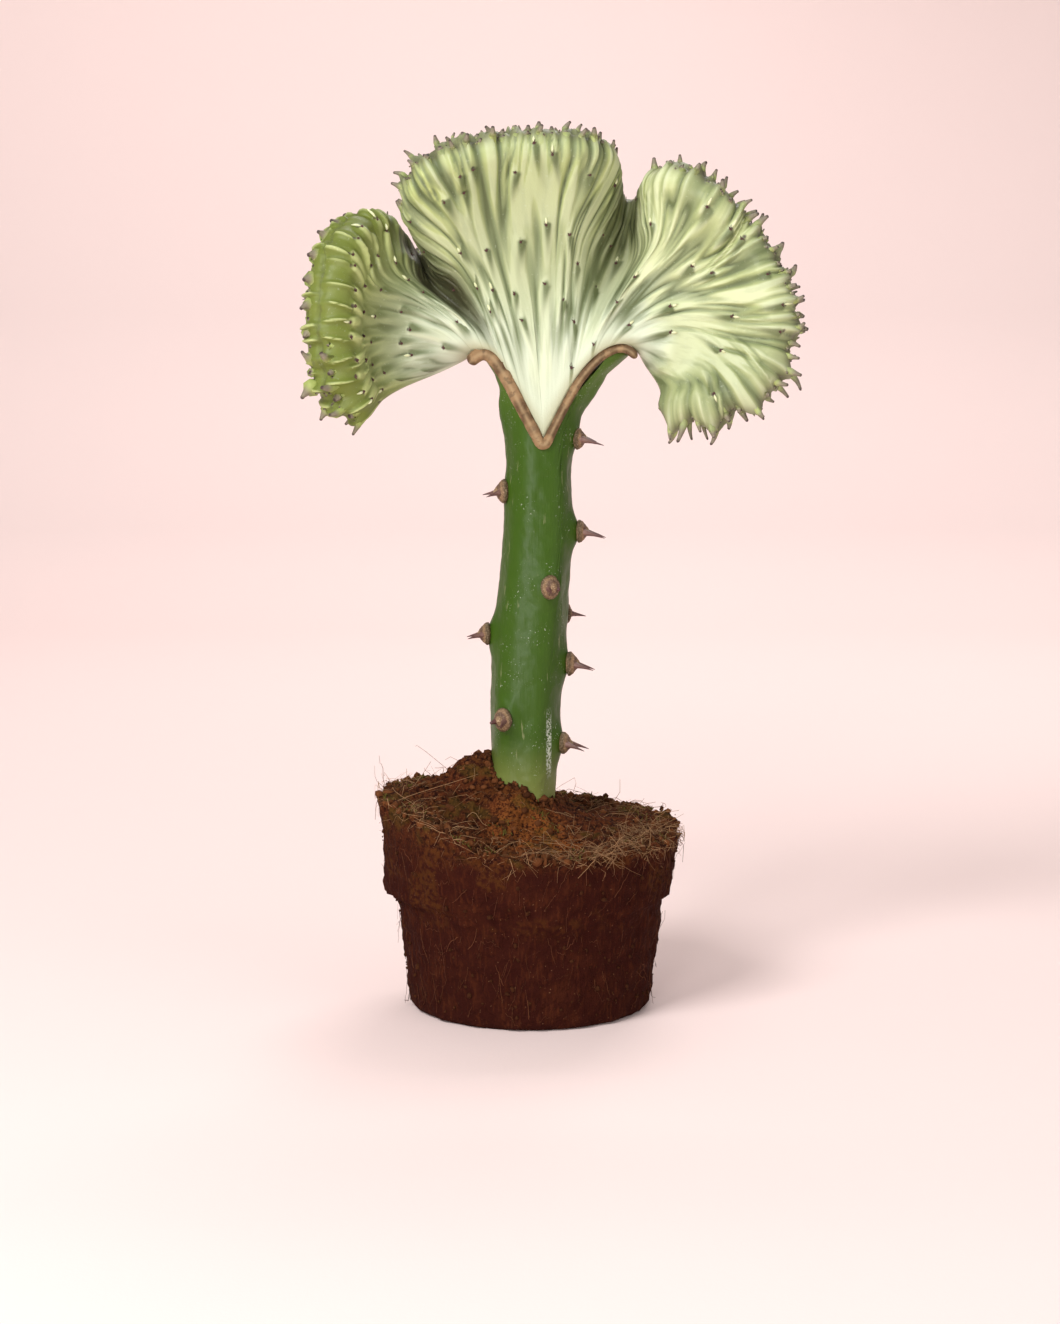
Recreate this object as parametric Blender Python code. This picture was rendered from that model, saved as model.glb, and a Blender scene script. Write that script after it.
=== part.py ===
"""A crested mottled spurge grafted on a thorny green stock, standing in its moulded root ball.

Metres, +Z up. The origin is the centre of the flat underside of the root ball, and -Y is the plant's front.
Sizes below are in millimetres, as measured, and MM turns them into metres.
"""
import math

import bmesh
import bpy
import numpy as np
from mathutils import Matrix, Vector, noise

MM = 0.001
GAP = 0.3  # clearance between touching pieces

# Root ball: soil and coir that keep the shape of the pot, with the step under its collar
BALL_FOOT_RADIUS = 48.5
BALL_STEP_RADIUS = 53.5
COLLAR_FOOT_RADIUS = 56.5
COLLAR_TOP_RADIUS = 60.0
STEP_HEIGHT = 46.0
RIM_HEIGHT = 72.0
FOOT_ROUNDING = 3.0
BALL_SIDES = 44
BALL_TOP_RINGS = 6
CRUMB_HEIGHT = 2.2  # how far the crumbs stand out on the top and the rim
WALL_CRUMB = 0.9
CRUMB_SIZES = (11.0, 9.0, 8.0)  # lumps on the top, on the rim and on the wall
RIM_DEPTH = 8.0  # how far below the rim the wall follows the soil's surface
# What raises the soil over the rim: the mound round the stem and the heap at its left, as
# (rise, x, y, spread in x, spread in y), and the high left side, as (rise, x, spread)
MOUND = (17.0, -4.0, 0.0, 16.0, 16.0)
HEAP = (15.0, -23.0, 2.0, 13.0, 10.0)
HIGH_SIDE = (15.0, -30.0, 10.0)
SOIL_SLOPE = 0.035  # rise towards the back, per millimetre
COLLAR_CORNER = (2.4, 51.0, 6.0, 0.6)  # how far it juts out on the left, height, spread up, spread round

# Stock: (height, centre x, half width in x, half depth in y), from its buried foot to the flared top
STOCK_SECTIONS = (
    (32.0, -4.6, 9.5, 9.5),
    (50.0, -4.2, 11.0, 11.0),
    (76.0, -3.2, 12.3, 12.3),
    (91.0, -2.6, 12.7, 12.7),
    (108.0, -2.4, 13.4, 13.2),
    (124.0, -1.9, 14.0, 13.7),
    (140.0, -1.0, 14.3, 13.9),
    (156.0, 0.3, 14.3, 13.9),
    (172.0, 1.7, 13.9, 13.6),
    (188.0, 2.8, 13.6, 13.3),
    (204.0, 3.5, 13.0, 12.9),
    (218.0, 3.7, 12.6, 12.7),
    (228.0, 3.4, 13.2, 12.7),
    (240.0, 5.0, 15.8, 12.6),
    (248.0, 7.0, 18.2, 12.3),
    (254.0, 8.4, 21.8, 11.8),
    (259.0, 10.1, 26.5, 11.0),
    (263.0, 10.9, 30.5, 10.0),
    (268.0, 11.5, 35.0, 9.0),
)
STOCK_SIDES = 20
STOCK_RINGS = 36
STOCK_RANKS = 5
RANK_RELIEF = 0.035  # share of the radius
RANK_TWIST = 28.0  # degrees over the height of the stock

# Spine shields on the stock: (height, angle from +X towards the front in degrees, spine length,
# how far the stock swells under the shield)
SHIELDS = (
    (229.0, 14.0, 10.5, 2.6),
    (192.0, 4.0, 9.5, 3.4),
    (171.0, 67.0, 6.0, 2.0),
    (139.0, 8.0, 9.0, 2.8),
    (118.0, 122.0, 7.5, 2.0),
    (107.0, 12.0, 9.0, 2.8),
    (208.0, 168.0, 7.5, 1.4),
    (151.0, 176.0, 7.5, 2.8),
    (158.0, -38.0, 8.0, 2.4),
    (216.0, -95.0, 8.0, 2.4),
    (182.0, -100.0, 8.0, 2.4),
    (126.0, -100.0, 8.0, 2.4),
)
# Old leaf cushions that lost their spines: (height, angle, how far the stock swells)
BARE_CUSHIONS = ((240.0, 180.0, 1.2), (247.0, 3.0, 2.4))
CUSHION_WIDTH = 5.2
CUSHION_HEIGHT = 7.5
SHIELD_SIDES = 8
SHIELD_SIZE = (4.4, 3.2, 3.9)  # height of its cone, half width across the stock, half length along it
SHIELD_ROOT = 1.4  # how deep its cone is sunk in the stock
SHIELD_TIP = 0.4  # width of its cone's end over that of its foot
SPINE_SIDES = 6
SPINE_RADIUS = 1.15
SPINE_POINT = 0.12
SPINE_SPREAD = 20.0  # degrees each spine turns from straight out
SPINE_DROOP = 6.0
SPINE_APART = 1.0

# Graft line: the middle of the corky seam between stock and crest, seen from the front, (x, z)
GRAFT_LINE = (
    (-24.0, 258.6),
    (-20.0, 262.2),
    (-15.8, 262.0),
    (-11.9, 257.3),
    (-7.9, 250.3),
    (-3.2, 241.2),
    (1.4, 232.6),
    (5.2, 226.4),
    (8.9, 232.8),
    (12.9, 240.6),
    (17.8, 249.5),
    (22.9, 256.6),
    (28.4, 261.7),
    (33.9, 264.4),
    (38.7, 264.0),
    (41.8, 260.6),
)
GRAFT_EASING = 61  # ninths of a percent of the line over which its corners are eased
SEAM_THICKNESS = 3.0
SEAM_STEPS = 36
SEAM_BULGE = 0.9  # how far the cork stands proud of the stock, front and back
SEAM_CORNERS = ((-1, -0.92), (-1, 0.92), (0, 1.0), (1, 0.92), (1, -0.92), (0, -1.0))
SEAM_END = 0.55  # its ends' share of the full section

# Crest: the growing edge of the folded fan. Each guide is a point on its middle line, the way the
# edge faces there, half the sheet's thickness, and the share of the graft line where the streamline
# to that point starts.
EDGE_GUIDES = (
    # left lobe, from its free edge up over the crown
    ((-63.0, -26.0, 239.0), (-0.55, -0.50, -0.67), 8.0, 0),
    ((-71.0, -34.0, 247.0), (-0.50, -0.75, -0.40), 8.8, 0.008),
    ((-75.5, -39.0, 264.0), (-0.48, -0.87, -0.05), 9.0, 0.016),
    ((-76.0, -38.0, 283.0), (-0.45, -0.85, 0.25), 9.0, 0.026),
    ((-73.5, -31.0, 300.0), (-0.45, -0.60, 0.66), 8.6, 0.036),
    ((-68.0, -18.0, 309.0), (-0.30, -0.30, 0.91), 7.6, 0.048),
    ((-60.0, -2.0, 311.0), (-0.20, 0.05, 0.98), 6.4, 0.062),
    # fold behind, between the left and the centre lobe
    ((-52.5, 11.0, 305.0), (-0.20, 0.20, 0.95), 5.0, 0.082),
    ((-44.0, 18.0, 299.0), (-0.15, 0.28, 0.94), 4.7, 0.104),
    ((-36.5, 9.0, 301.5), (-0.25, 0.20, 0.94), 5.0, 0.13),
    # centre lobe
    ((-40.5, -2.0, 310.0), (-0.60, -0.10, 0.80), 5.0, 0.165),
    ((-44.5, -12.0, 320.5), (-0.68, -0.25, 0.69), 5.6, 0.22),
    ((-39.5, -18.5, 331.0), (-0.50, -0.40, 0.77), 7.0, 0.29),
    ((-26.0, -18.0, 337.5), (-0.17, -0.50, 0.85), 7.6, 0.36),
    ((-9.0, -16.0, 340.5), (0.00, -0.45, 0.90), 7.8, 0.44),
    ((7.0, -16.0, 341.5), (0.03, -0.45, 0.90), 7.6, 0.52),
    ((20.5, -14.0, 340.5), (0.22, -0.30, 0.93), 6.8, 0.59),
    ((28.5, -2.0, 336.5), (0.42, 0.05, 0.91), 5.6, 0.645),
    # fold behind, between the centre and the right lobe
    ((30.5, 15.0, 327.5), (0.15, 0.35, 0.92), 5.2, 0.685),
    ((36.5, 26.0, 320.0), (0.08, 0.40, 0.91), 5.2, 0.72),
    ((45.0, 24.0, 320.0), (0.08, 0.40, 0.91), 5.3, 0.755),
    # right lobe, down to its free edge
    ((50.0, 9.0, 324.0), (0.00, 0.10, 0.99), 5.8, 0.785),
    ((53.5, -5.0, 328.0), (-0.05, -0.15, 0.98), 6.8, 0.81),
    ((62.0, -12.0, 327.0), (0.15, -0.30, 0.94), 7.6, 0.83),
    ((72.0, -14.0, 319.0), (0.45, -0.30, 0.84), 7.8, 0.85),
    ((81.0, -11.0, 308.0), (0.65, -0.20, 0.73), 7.6, 0.865),
    ((90.0, -14.0, 296.0), (0.85, -0.30, 0.43), 7.8, 0.88),
    ((95.0, -16.0, 281.0), (0.95, -0.25, 0.15), 8.0, 0.895),
    ((95.0, -16.0, 267.0), (0.95, -0.25, -0.15), 8.0, 0.915),
    ((89.0, -18.0, 254.0), (0.75, -0.30, -0.60), 8.0, 0.935),
    ((77.0, -18.0, 246.0), (0.35, -0.30, -0.90), 7.8, 0.957),
    ((64.0, -14.0, 243.0), (0.00, -0.20, -0.98), 7.6, 0.978),
    ((51.0, -8.0, 243.0), (-0.25, -0.10, -0.96), 7.0, 1),
)
DEPARTURE_PULL = 0.40  # share of the chord that keeps a streamline's first heading
ARRIVAL_PULL = 0.36
LEAVE_LIFT = 0.8  # how strongly a streamline first turns upwards
FREE_EDGE_SHARE = 0.12  # share of the growing edge over which that fades towards the free edges
FACING_REACH = 5.0  # distance over which the sheet's facing is averaged
SQUARE_FROM = 0.6  # up to this row the thickness is laid front to back; at the edge, square to the sheet
LEAST_FACING = 0.75
BEND_ROOM = 0.6  # share of a fold's inner radius that the thickness may fill
BEND_REACH = 3  # columns
FOOT_HALF_THICKNESS = 12.0
WAIST_HALF_THICKNESS = 6.4
WAIST_SHARE = 0.78  # the waist is never thicker than this share of the growing edge
CAP_ROUNDING = 0.75  # depth of the rounded growing edge over its half thickness
CREST_COLUMNS = 209
FACE_ROWS = (0.0, 0.13, 0.26, 0.37, 0.48, 0.59, 0.70, 0.80, 0.90, 1.0)
MERGED_COLUMNS = ((0.14, 4), (0.38, 2))  # up to this row, this many columns run as one
CAP_ANGLES = (62.0, 40.0, 14.0)  # degrees from the growing edge's middle line, on each side
TOOTH_LENGTH = 4.2
TOOTH_SHORTEST = 0.35  # share of the length
TOOTH_SWAY = 0.9
RIB_HEIGHT = 1.1
KNOB_ROWS = ((0.70, 4, 1.8), (0.48, 6, 1.9), (0.26, 12, 1.7))  # place, columns apart, height
EDGE_SEED = 41

COLOURS = {
    "soil": ((0.105, 0.034, 0.018), 0.95),
    "stock": ((0.100, 0.205, 0.035), 0.38),
    "cork": ((0.300, 0.175, 0.095), 0.85),
    "crest": ((0.560, 0.630, 0.380), 0.50),
}


def clear_scene():
    for old in list(bpy.data.objects):
        bpy.data.objects.remove(old, do_unlink=True)


def new_collection(name):
    collection = bpy.data.collections.new(name)
    bpy.context.scene.collection.children.link(collection)
    return collection


def material(name):
    """A plain material of the named colour and roughness."""
    colour, roughness = COLOURS[name]
    made = bpy.data.materials.new(name)
    made.use_nodes = True
    shader = made.node_tree.nodes["Principled BSDF"]
    shader.inputs["Base Color"].default_value = (*colour, 1.0)
    shader.inputs["Roughness"].default_value = roughness
    shader.inputs["Metallic"].default_value = 0.0
    return made


def object_from(bm, name, collection, look=None):
    """Turns a bmesh in millimetres into an object in metres."""
    bmesh.ops.scale(bm, vec=(MM, MM, MM), verts=bm.verts)
    mesh = bpy.data.meshes.new(name)
    bm.to_mesh(mesh)
    bm.free()
    made = bpy.data.objects.new(name, mesh)
    collection.objects.link(made)
    if look:
        mesh.materials.append(look)
        mesh.shade_smooth()
        mesh.set_sharp_from_angle(angle=math.radians(50))
    return made


def apply_boolean(target, operation, cutter=None, group=None, solver="EXACT"):
    """Cuts or joins the target with one object or a collection, applies it and removes the tools."""
    modifier = target.modifiers.new(operation.title(), "BOOLEAN")
    modifier.operation = operation
    modifier.solver = solver
    if group:
        modifier.operand_type = "COLLECTION"
        modifier.collection = group
    else:
        modifier.object = cutter
    bpy.context.view_layer.update()
    result = target.evaluated_get(bpy.context.evaluated_depsgraph_get())
    mesh = bpy.data.meshes.new_from_object(result)
    target.modifiers.remove(modifier)
    target.data = mesh
    for tool in list(group.objects) if group else [cutter]:
        bpy.data.objects.remove(tool, do_unlink=True)


def smooth_path(points, samples):
    """A Catmull-Rom curve through the points, as that many samples at even steps of the index."""
    p = np.array(points, float)
    p = np.vstack((2 * p[0] - p[1], p, 2 * p[-1] - p[-2]))
    place = np.linspace(0, len(points) - 1, samples)
    first = np.minimum(place.astype(int), len(points) - 2)
    t = (place - first)[:, None]
    a, b, c, d = (p[first + k] for k in range(4))
    return 0.5 * (
        2 * b + (c - a) * t + (2 * a - 5 * b + 4 * c - d) * t**2 + (3 * b - a - 3 * c + d) * t**3
    )


def even_steps(path, samples):
    """The path again, with its samples at equal distances."""
    far = np.concatenate(([0.0], np.cumsum(np.linalg.norm(np.diff(path, axis=0), axis=1))))
    wanted = np.linspace(0, far[-1], samples)
    return np.stack([np.interp(wanted, far, path[:, k]) for k in range(path.shape[1])], axis=1)


def unit(vectors):
    return vectors / np.linalg.norm(vectors, axis=-1, keepdims=True)


def graft_path(samples, offset=0.0):
    """The graft line in (x, z), its corners eased, moved towards the crest by the offset."""
    fine = even_steps(smooth_path(GRAFT_LINE, 900), 900)
    window = np.hanning(GRAFT_EASING + 2)[1:-1]
    reach = GRAFT_EASING // 2
    padded = np.vstack((2 * fine[0] - fine[reach:0:-1], fine, 2 * fine[-1] - fine[-2 : -reach - 2 : -1]))
    path = sum(w * padded[k : k + len(fine)] for k, w in enumerate(window / window.sum()))
    along = unit(np.gradient(path, axis=0))
    path = path + offset * np.stack((-along[:, 1], along[:, 0]), axis=1)
    return even_steps(path, samples)


# Root ball
def soil_height(x, y):
    """Height of the soil's surface: raised on the left, heaped behind the stem's left, mounded round it."""
    height = RIM_HEIGHT + SOIL_SLOPE * y
    for rise, middle_x, middle_y, wide, deep in (MOUND, HEAP):
        height += rise * math.exp(-((x - middle_x) ** 2) / (2 * wide**2) - (y - middle_y) ** 2 / (2 * deep**2))
    rise, middle_x, spread = HIGH_SIDE
    return height + rise / (1 + math.exp((x - middle_x) / spread))


def crumbs(point, size):
    """A repeatable roughness between about -1 and 1, with lumps of the given size."""
    return noise.noise(point / size) + 0.6 * noise.noise(point / (0.45 * size) + Vector((9, 4, 2)))


def ball_profile():
    """The turned outline, (radius, height), from the foot's edge up the wall and in over the top."""
    foot = [
        (BALL_FOOT_RADIUS - FOOT_ROUNDING, 0.0),
        (BALL_FOOT_RADIUS - 0.3 * FOOT_ROUNDING, 0.3 * FOOT_ROUNDING),
        (BALL_FOOT_RADIUS + 0.2, FOOT_ROUNDING),
    ]
    wall = [
        (BALL_FOOT_RADIUS + share * (BALL_STEP_RADIUS - BALL_FOOT_RADIUS), share * STEP_HEIGHT)
        for share in (0.22, 0.38, 0.54, 0.70, 0.86, 1.0)
    ]
    rise = RIM_HEIGHT - STEP_HEIGHT
    collar = [
        (
            COLLAR_FOOT_RADIUS + share * (COLLAR_TOP_RADIUS - COLLAR_FOOT_RADIUS),
            STEP_HEIGHT + 0.6 + share * rise,
        )
        for share in (0.0, 0.25, 0.5, 0.75, 0.95)
    ]
    top = [
        (COLLAR_TOP_RADIUS * (1 - (k + 0.35) / (BALL_TOP_RINGS + 0.5)), RIM_HEIGHT)
        for k in range(BALL_TOP_RINGS)
    ]
    return foot + wall + collar + top


def add_root_ball(collection, look):
    """The root ball: a spun profile whose top follows the soil and whose skin is crumbled."""
    bm = bmesh.new()
    outline = [bm.verts.new((radius, 0.0, height)) for radius, height in ball_profile()]
    edges = [bm.edges.new(pair) for pair in zip(outline, outline[1:])]
    bmesh.ops.spin(
        bm,
        geom=outline + edges,
        cent=(0, 0, 0),
        axis=(0, 0, 1),
        angle=2 * math.pi,
        steps=BALL_SIDES,
        use_merge=True,
    )
    bmesh.ops.remove_doubles(bm, verts=bm.verts, dist=0.01)
    bmesh.ops.holes_fill(bm, edges=[e for e in bm.edges if e.is_boundary], sides=0)
    bm.normal_update()
    top_faces = [f for f in bm.faces if len(f.verts) > 4 and f.calc_center_median().z > STEP_HEIGHT]
    bmesh.ops.poke(bm, faces=top_faces)
    bmesh.ops.recalc_face_normals(bm, faces=bm.faces)
    bm.normal_update()
    top_size, rim_size, wall_size = CRUMB_SIZES
    jut, corner_height, corner_rise, corner_turn = COLLAR_CORNER
    for vert in bm.verts:
        place = vert.co.copy()
        radius = math.hypot(place.x, place.y)
        if place.z < 0.01:
            continue
        out = 0.0
        if place.z > STEP_HEIGHT:
            turn = math.pi - abs(math.atan2(place.y, place.x))
            out = jut * math.exp(-(((place.z - corner_height) / corner_rise) ** 2) - (turn / corner_turn) ** 2)
        if place.z > RIM_HEIGHT - RIM_DEPTH:
            lift = soil_height(place.x, place.y) - RIM_HEIGHT
            share = min(1.0, (place.z - RIM_HEIGHT + RIM_DEPTH) / RIM_DEPTH)
            place.z += share * lift + CRUMB_HEIGHT * crumbs(place, top_size)
            if radius > COLLAR_FOOT_RADIUS - rim_size:
                out += 0.9 * CRUMB_HEIGHT * crumbs(place, rim_size)
        else:
            out += WALL_CRUMB * crumbs(place, wall_size)
        place.x *= 1 + out / radius
        place.y *= 1 + out / radius
        vert.co = place
    ball = object_from(bm, "root_ball", collection, look)
    hole = object_from(stock_loft(offset=GAP, foot_drop=GAP), "stem_hole", collection)
    apply_boolean(ball, "DIFFERENCE", hole)
    return ball


# Stock
def stock_section(height):
    """Centre x, half width and half depth of the stock at a height, eased between its sections."""
    table = np.array(STOCK_SECTIONS)
    return [float(np.interp(height, table[:, 0], table[:, k])) for k in (1, 2, 3)]


def stock_point(height, angle, offset=0.0):
    """A point on the stock's skin. The angle is in radians from +X towards the front."""
    centre, half_width, half_depth = stock_section(height)
    twist = math.radians(RANK_TWIST) * height / STOCK_SECTIONS[-1][0]
    rank = 1 + RANK_RELIEF * math.cos(STOCK_RANKS * (angle + twist))
    out = offset
    cushions = [(s[0], s[1], s[3]) for s in SHIELDS] + list(BARE_CUSHIONS)
    for cushion_height, degrees, rise in cushions:
        turn = (angle - math.radians(degrees) + math.pi) % (2 * math.pi) - math.pi
        across = turn * half_width / CUSHION_WIDTH
        along = (height - cushion_height) / CUSHION_HEIGHT
        out += rise * math.exp(-(across**2) - along**2)
    x = centre + (half_width * rank + out) * math.cos(angle)
    y = -(half_depth * rank + out) * math.sin(angle)
    return Vector((x, y, height))


def stock_loft(offset=0.0, foot_drop=0.0):
    """A closed loft of the stock's rings, in millimetres, swollen by the offset."""
    low, high = STOCK_SECTIONS[0][0], STOCK_SECTIONS[-1][0]
    bm = bmesh.new()
    ring = bmesh.ops.create_circle(bm, cap_ends=False, radius=1.0, segments=STOCK_SIDES)["verts"]
    angles = [-math.atan2(v.co.y, v.co.x) for v in ring]
    edges = list(bm.edges)
    for step in range(STOCK_RINGS):
        height = low + (high - low) * step / (STOCK_RINGS - 1)
        if step:
            grown = bmesh.ops.extrude_edge_only(bm, edges=edges)["geom"]
            edges = [g for g in grown if isinstance(g, bmesh.types.BMEdge)]
            ring = [g for g in grown if isinstance(g, bmesh.types.BMVert)]
            angles = [-math.atan2(v.co.y, v.co.x - centre) for v in ring]
        centre = stock_section(height)[0]
        for vert, angle in zip(ring, angles):
            vert.co = stock_point(height, angle, offset)
            if step == 0:
                vert.co.z -= foot_drop
    bmesh.ops.holes_fill(bm, edges=[e for e in bm.edges if e.is_boundary], sides=0)
    bmesh.ops.recalc_face_normals(bm, faces=bm.faces)
    return bm


def notch_cutter(collection):
    """What the grafter cut away: everything over the graft line, front to back."""
    path = graft_path(SEAM_STEPS, -(SEAM_THICKNESS / 2 + GAP))
    outline = [(-70.0, path[0, 1]), *path, (90.0, path[-1, 1]), (90.0, 300.0), (-70.0, 300.0)]
    bm = bmesh.new()
    face = bm.faces.new([bm.verts.new((x, -30.0, z)) for x, z in outline])
    moved = bmesh.ops.extrude_face_region(bm, geom=[face])["geom"]
    verts = [g for g in moved if isinstance(g, bmesh.types.BMVert)]
    bmesh.ops.translate(bm, vec=(0, 60, 0), verts=verts)
    bmesh.ops.recalc_face_normals(bm, faces=bm.faces)
    return object_from(bm, "graft_notch", collection)


def add_shield(height, degrees, length, group):
    """A corky shield with its pair of spines, rooted in the stock's skin."""
    angle = math.radians(degrees)
    centre = Vector((stock_section(height)[0], 0.0, height))
    skin = stock_point(height, angle)
    out = (skin - centre).normalized()
    facing = Matrix.Translation(skin + 0.2 * out) @ out.to_track_quat("X", "Z").to_matrix().to_4x4()
    lie = Matrix.Rotation(math.radians(90.0), 4, "Y")
    tall, across, along = SHIELD_SIZE
    bm = bmesh.new()
    bmesh.ops.create_cone(
        bm,
        cap_ends=True,
        segments=SHIELD_SIDES,
        radius1=1.0,
        radius2=SHIELD_TIP,
        depth=1.0,
        matrix=facing
        @ Matrix.Translation((tall / 2 - SHIELD_ROOT, 0, 0))
        @ Matrix.Diagonal((tall, across, along, 1.0))
        @ lie,
    )
    object_from(bm, "shield", group)
    for side in (-1, 1):
        bm = bmesh.new()
        turn = Matrix.Rotation(math.radians(side * SPINE_SPREAD), 4, "Z")
        droop = Matrix.Rotation(math.radians(SPINE_DROOP), 4, "Y")
        start = Matrix.Translation((0.0, side * SPINE_APART, -SPINE_POINT))
        bmesh.ops.create_cone(
            bm,
            cap_ends=True,
            segments=SPINE_SIDES,
            radius1=SPINE_RADIUS,
            radius2=SPINE_POINT,
            depth=length,
            matrix=facing @ start @ turn @ droop @ Matrix.Translation((length / 2, 0, 0)) @ lie,
        )
        object_from(bm, "spine", group)


def add_stock(collection, look):
    """The rooted stock: notched at the top, with its shields and spines joined to it."""
    stock = object_from(stock_loft(), "stock_stem", collection, look)
    apply_boolean(stock, "DIFFERENCE", notch_cutter(collection))
    spines = new_collection("spines")
    for height, degrees, length, _ in SHIELDS:
        add_shield(height, degrees, length, spines)
    apply_boolean(stock, "UNION", group=spines, solver="MANIFOLD")
    bpy.data.collections.remove(spines)
    return stock


# Seam
def add_seam(collection, look):
    """The corky seam that healed over the cut: a flat band swept along the graft line."""
    path = graft_path(SEAM_STEPS)
    along = unit(np.gradient(path, axis=0))
    bm = bmesh.new()
    edges = []
    for k, ((x, z), (dx, dz)) in enumerate(zip(path, along)):
        depth = stock_section(z)[2] + SEAM_BULGE
        thick = SEAM_THICKNESS / 2
        if k in (0, len(path) - 1):
            depth *= SEAM_END
            thick *= SEAM_END
        if not edges:
            ring = [bm.verts.new((0, 0, 0)) for _ in SEAM_CORNERS]
            edges = [bm.edges.new((a, b)) for a, b in zip(ring, ring[1:] + ring[:1])]
        else:
            grown = bmesh.ops.extrude_edge_only(bm, edges=edges)["geom"]
            edges = [g for g in grown if isinstance(g, bmesh.types.BMEdge)]
            made = [g for g in grown if isinstance(g, bmesh.types.BMVert)]
            ring = [next(e.other_vert(v) for e in v.link_edges if e.other_vert(v) in made) for v in ring]
        for vert, (across, deep) in zip(ring, SEAM_CORNERS):
            vert.co = (x - across * thick * dz, deep * depth, z + across * thick * dx)
    bmesh.ops.holes_fill(bm, edges=[e for e in bm.edges if e.is_boundary], sides=0)
    bmesh.ops.recalc_face_normals(bm, faces=bm.faces)
    return object_from(bm, "graft_seam", collection, look)


# Crest
def ease(t):
    t = np.clip(t, 0, 1)
    return t * t * (3 - 2 * t)


def fan_streamlines(columns, rows):
    """The fan's middle surface: points and normals by (column, row), then headings and half
    thickness at the growing edge by column."""
    fine = 1200
    edge, heading, thickness, share = (
        smooth_path([np.atleast_1d(guide[k]) for guide in EDGE_GUIDES], fine) for k in range(4)
    )
    foot = graft_path(fine, SEAM_THICKNESS / 2 + GAP)
    share = np.clip(share[:, 0], 0, 1) * (fine - 1)
    base = np.stack([np.interp(share, np.arange(fine), foot[:, k]) for k in range(2)], 1)
    far = np.concatenate(([0.0], np.cumsum(np.linalg.norm(np.diff(edge, axis=0), axis=1))))
    wanted = np.linspace(0, far[-1], columns)

    def pick(values):
        return np.stack([np.interp(wanted, far, values[:, k]) for k in range(values.shape[1])], 1)

    edge, heading, base, thickness = map(pick, (edge, unit(heading), base, thickness))
    start = np.stack((base[:, 0], np.zeros(columns), base[:, 1]), 1)
    chord = edge - start
    length = np.linalg.norm(chord, axis=1, keepdims=True)
    place = np.linspace(0, 1, columns)
    lift = LEAVE_LIFT * ease(np.minimum(place, 1 - place) / FREE_EDGE_SHARE)[:, None]
    leave = unit(unit(chord * (1, 0, 1)) + lift * np.array((0.0, 0.0, 1.0)))
    p1 = start + DEPARTURE_PULL * length * leave
    p2 = edge - ARRIVAL_PULL * length * unit(heading)
    t = np.array(rows)[None, :, None]
    a, b, c, d = (q[:, None, :] for q in (start, p1, p2, edge))
    middle = a * (1 - t) ** 3 + 3 * b * t * (1 - t) ** 2 + 3 * c * t**2 * (1 - t) + d * t**3
    across = np.gradient(middle, axis=0)
    along = np.gradient(middle, np.array(rows), axis=1)
    normal = unit(np.cross(across, along))
    square = ease((np.array(rows) - SQUARE_FROM) / (1 - SQUARE_FROM))
    outward = np.empty_like(normal)
    for row, share in enumerate(square):
        step = np.linalg.norm(np.diff(middle[:, row], axis=0), axis=1)
        far = np.concatenate(([0.0], np.cumsum(step)))
        weight = np.exp(-(((far[:, None] - far[None, :]) / FACING_REACH) ** 2))
        smooth = unit(weight @ normal[:, row])
        way = unit(share * smooth + (1 - share) * np.array((0.0, -1.0, 0.0)))
        facing = np.sum(way * smooth, axis=1, keepdims=True)
        outward[:, row] = way / np.maximum(facing, LEAST_FACING)
    return middle, outward, unit(heading), thickness[:, 0]


def half_thickness(middle, outward, rows, edge):
    """Half thickness by (column, row, side): stout at the foot, slim at the waist, rounded off at the
    free edges, and thinner on the hollow side of a fold, where the two walls would meet."""
    v = np.array(rows)[None, :]
    waist = np.minimum(WAIST_HALF_THICKNESS, WAIST_SHARE * edge[:, None])
    half = FOOT_HALF_THICKNESS + (waist - FOOT_HALF_THICKNESS) * ease(v / 0.5)
    half = half + (edge[:, None] - half) * ease((v - 0.5) / 0.5)
    steps = np.linalg.norm(np.diff(middle, axis=0), axis=2)
    near = np.vstack((np.zeros((1, len(rows))), np.cumsum(steps, axis=0)))
    near = np.minimum(near, near[-1] - near)
    inside = 1 - np.clip(near / half, 0, 1)
    half = half * np.sqrt(np.clip(1 - inside**2, 0, 1))
    along = np.gradient(middle, axis=0)
    closing = np.sum(np.gradient(outward, axis=0) * along, axis=2) / np.sum(along**2, axis=2)
    sides = []
    for side in (-1, 1):
        room = BEND_ROOM / np.maximum(-side * closing, 0.001)
        padded = np.pad(room, ((BEND_REACH, BEND_REACH), (0, 0)), mode="edge")
        room = np.min([padded[k : k + len(room)] for k in range(2 * BEND_REACH + 1)], axis=0)
        padded = np.pad(np.minimum(half, room), ((BEND_REACH, BEND_REACH), (0, 0)), mode="edge")
        eased = np.mean([padded[k : k + len(room)] for k in range(2 * BEND_REACH + 1)], axis=0)
        sides.append(np.minimum(half, eased))
    return np.stack(sides, axis=2)


def knob_relief(column, place):
    """Raised ridges that end in knobs on the faces: height over the sheet at a column and a row."""
    raised = 0.0
    for n, (tip, apart, height) in enumerate(KNOB_ROWS):
        offset = (column + (n % 2) * apart // 2) % apart
        from_ridge = min(offset, apart - offset) / (0.5 * apart)
        reach = 1 - (tip - place) / 0.26 if place <= tip else 1 - (place - tip) / 0.08
        raised = max(raised, height * max(0.0, reach) * (1 - from_ridge) ** 0.8)
    return raised


def merged_column(column, row):
    """Low on the fan several columns run as one: the column that stands for this one at a row."""
    for limit, group in MERGED_COLUMNS:
        if FACE_ROWS[row] < limit:
            return int(round(column / group)) * group
    return column


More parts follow.
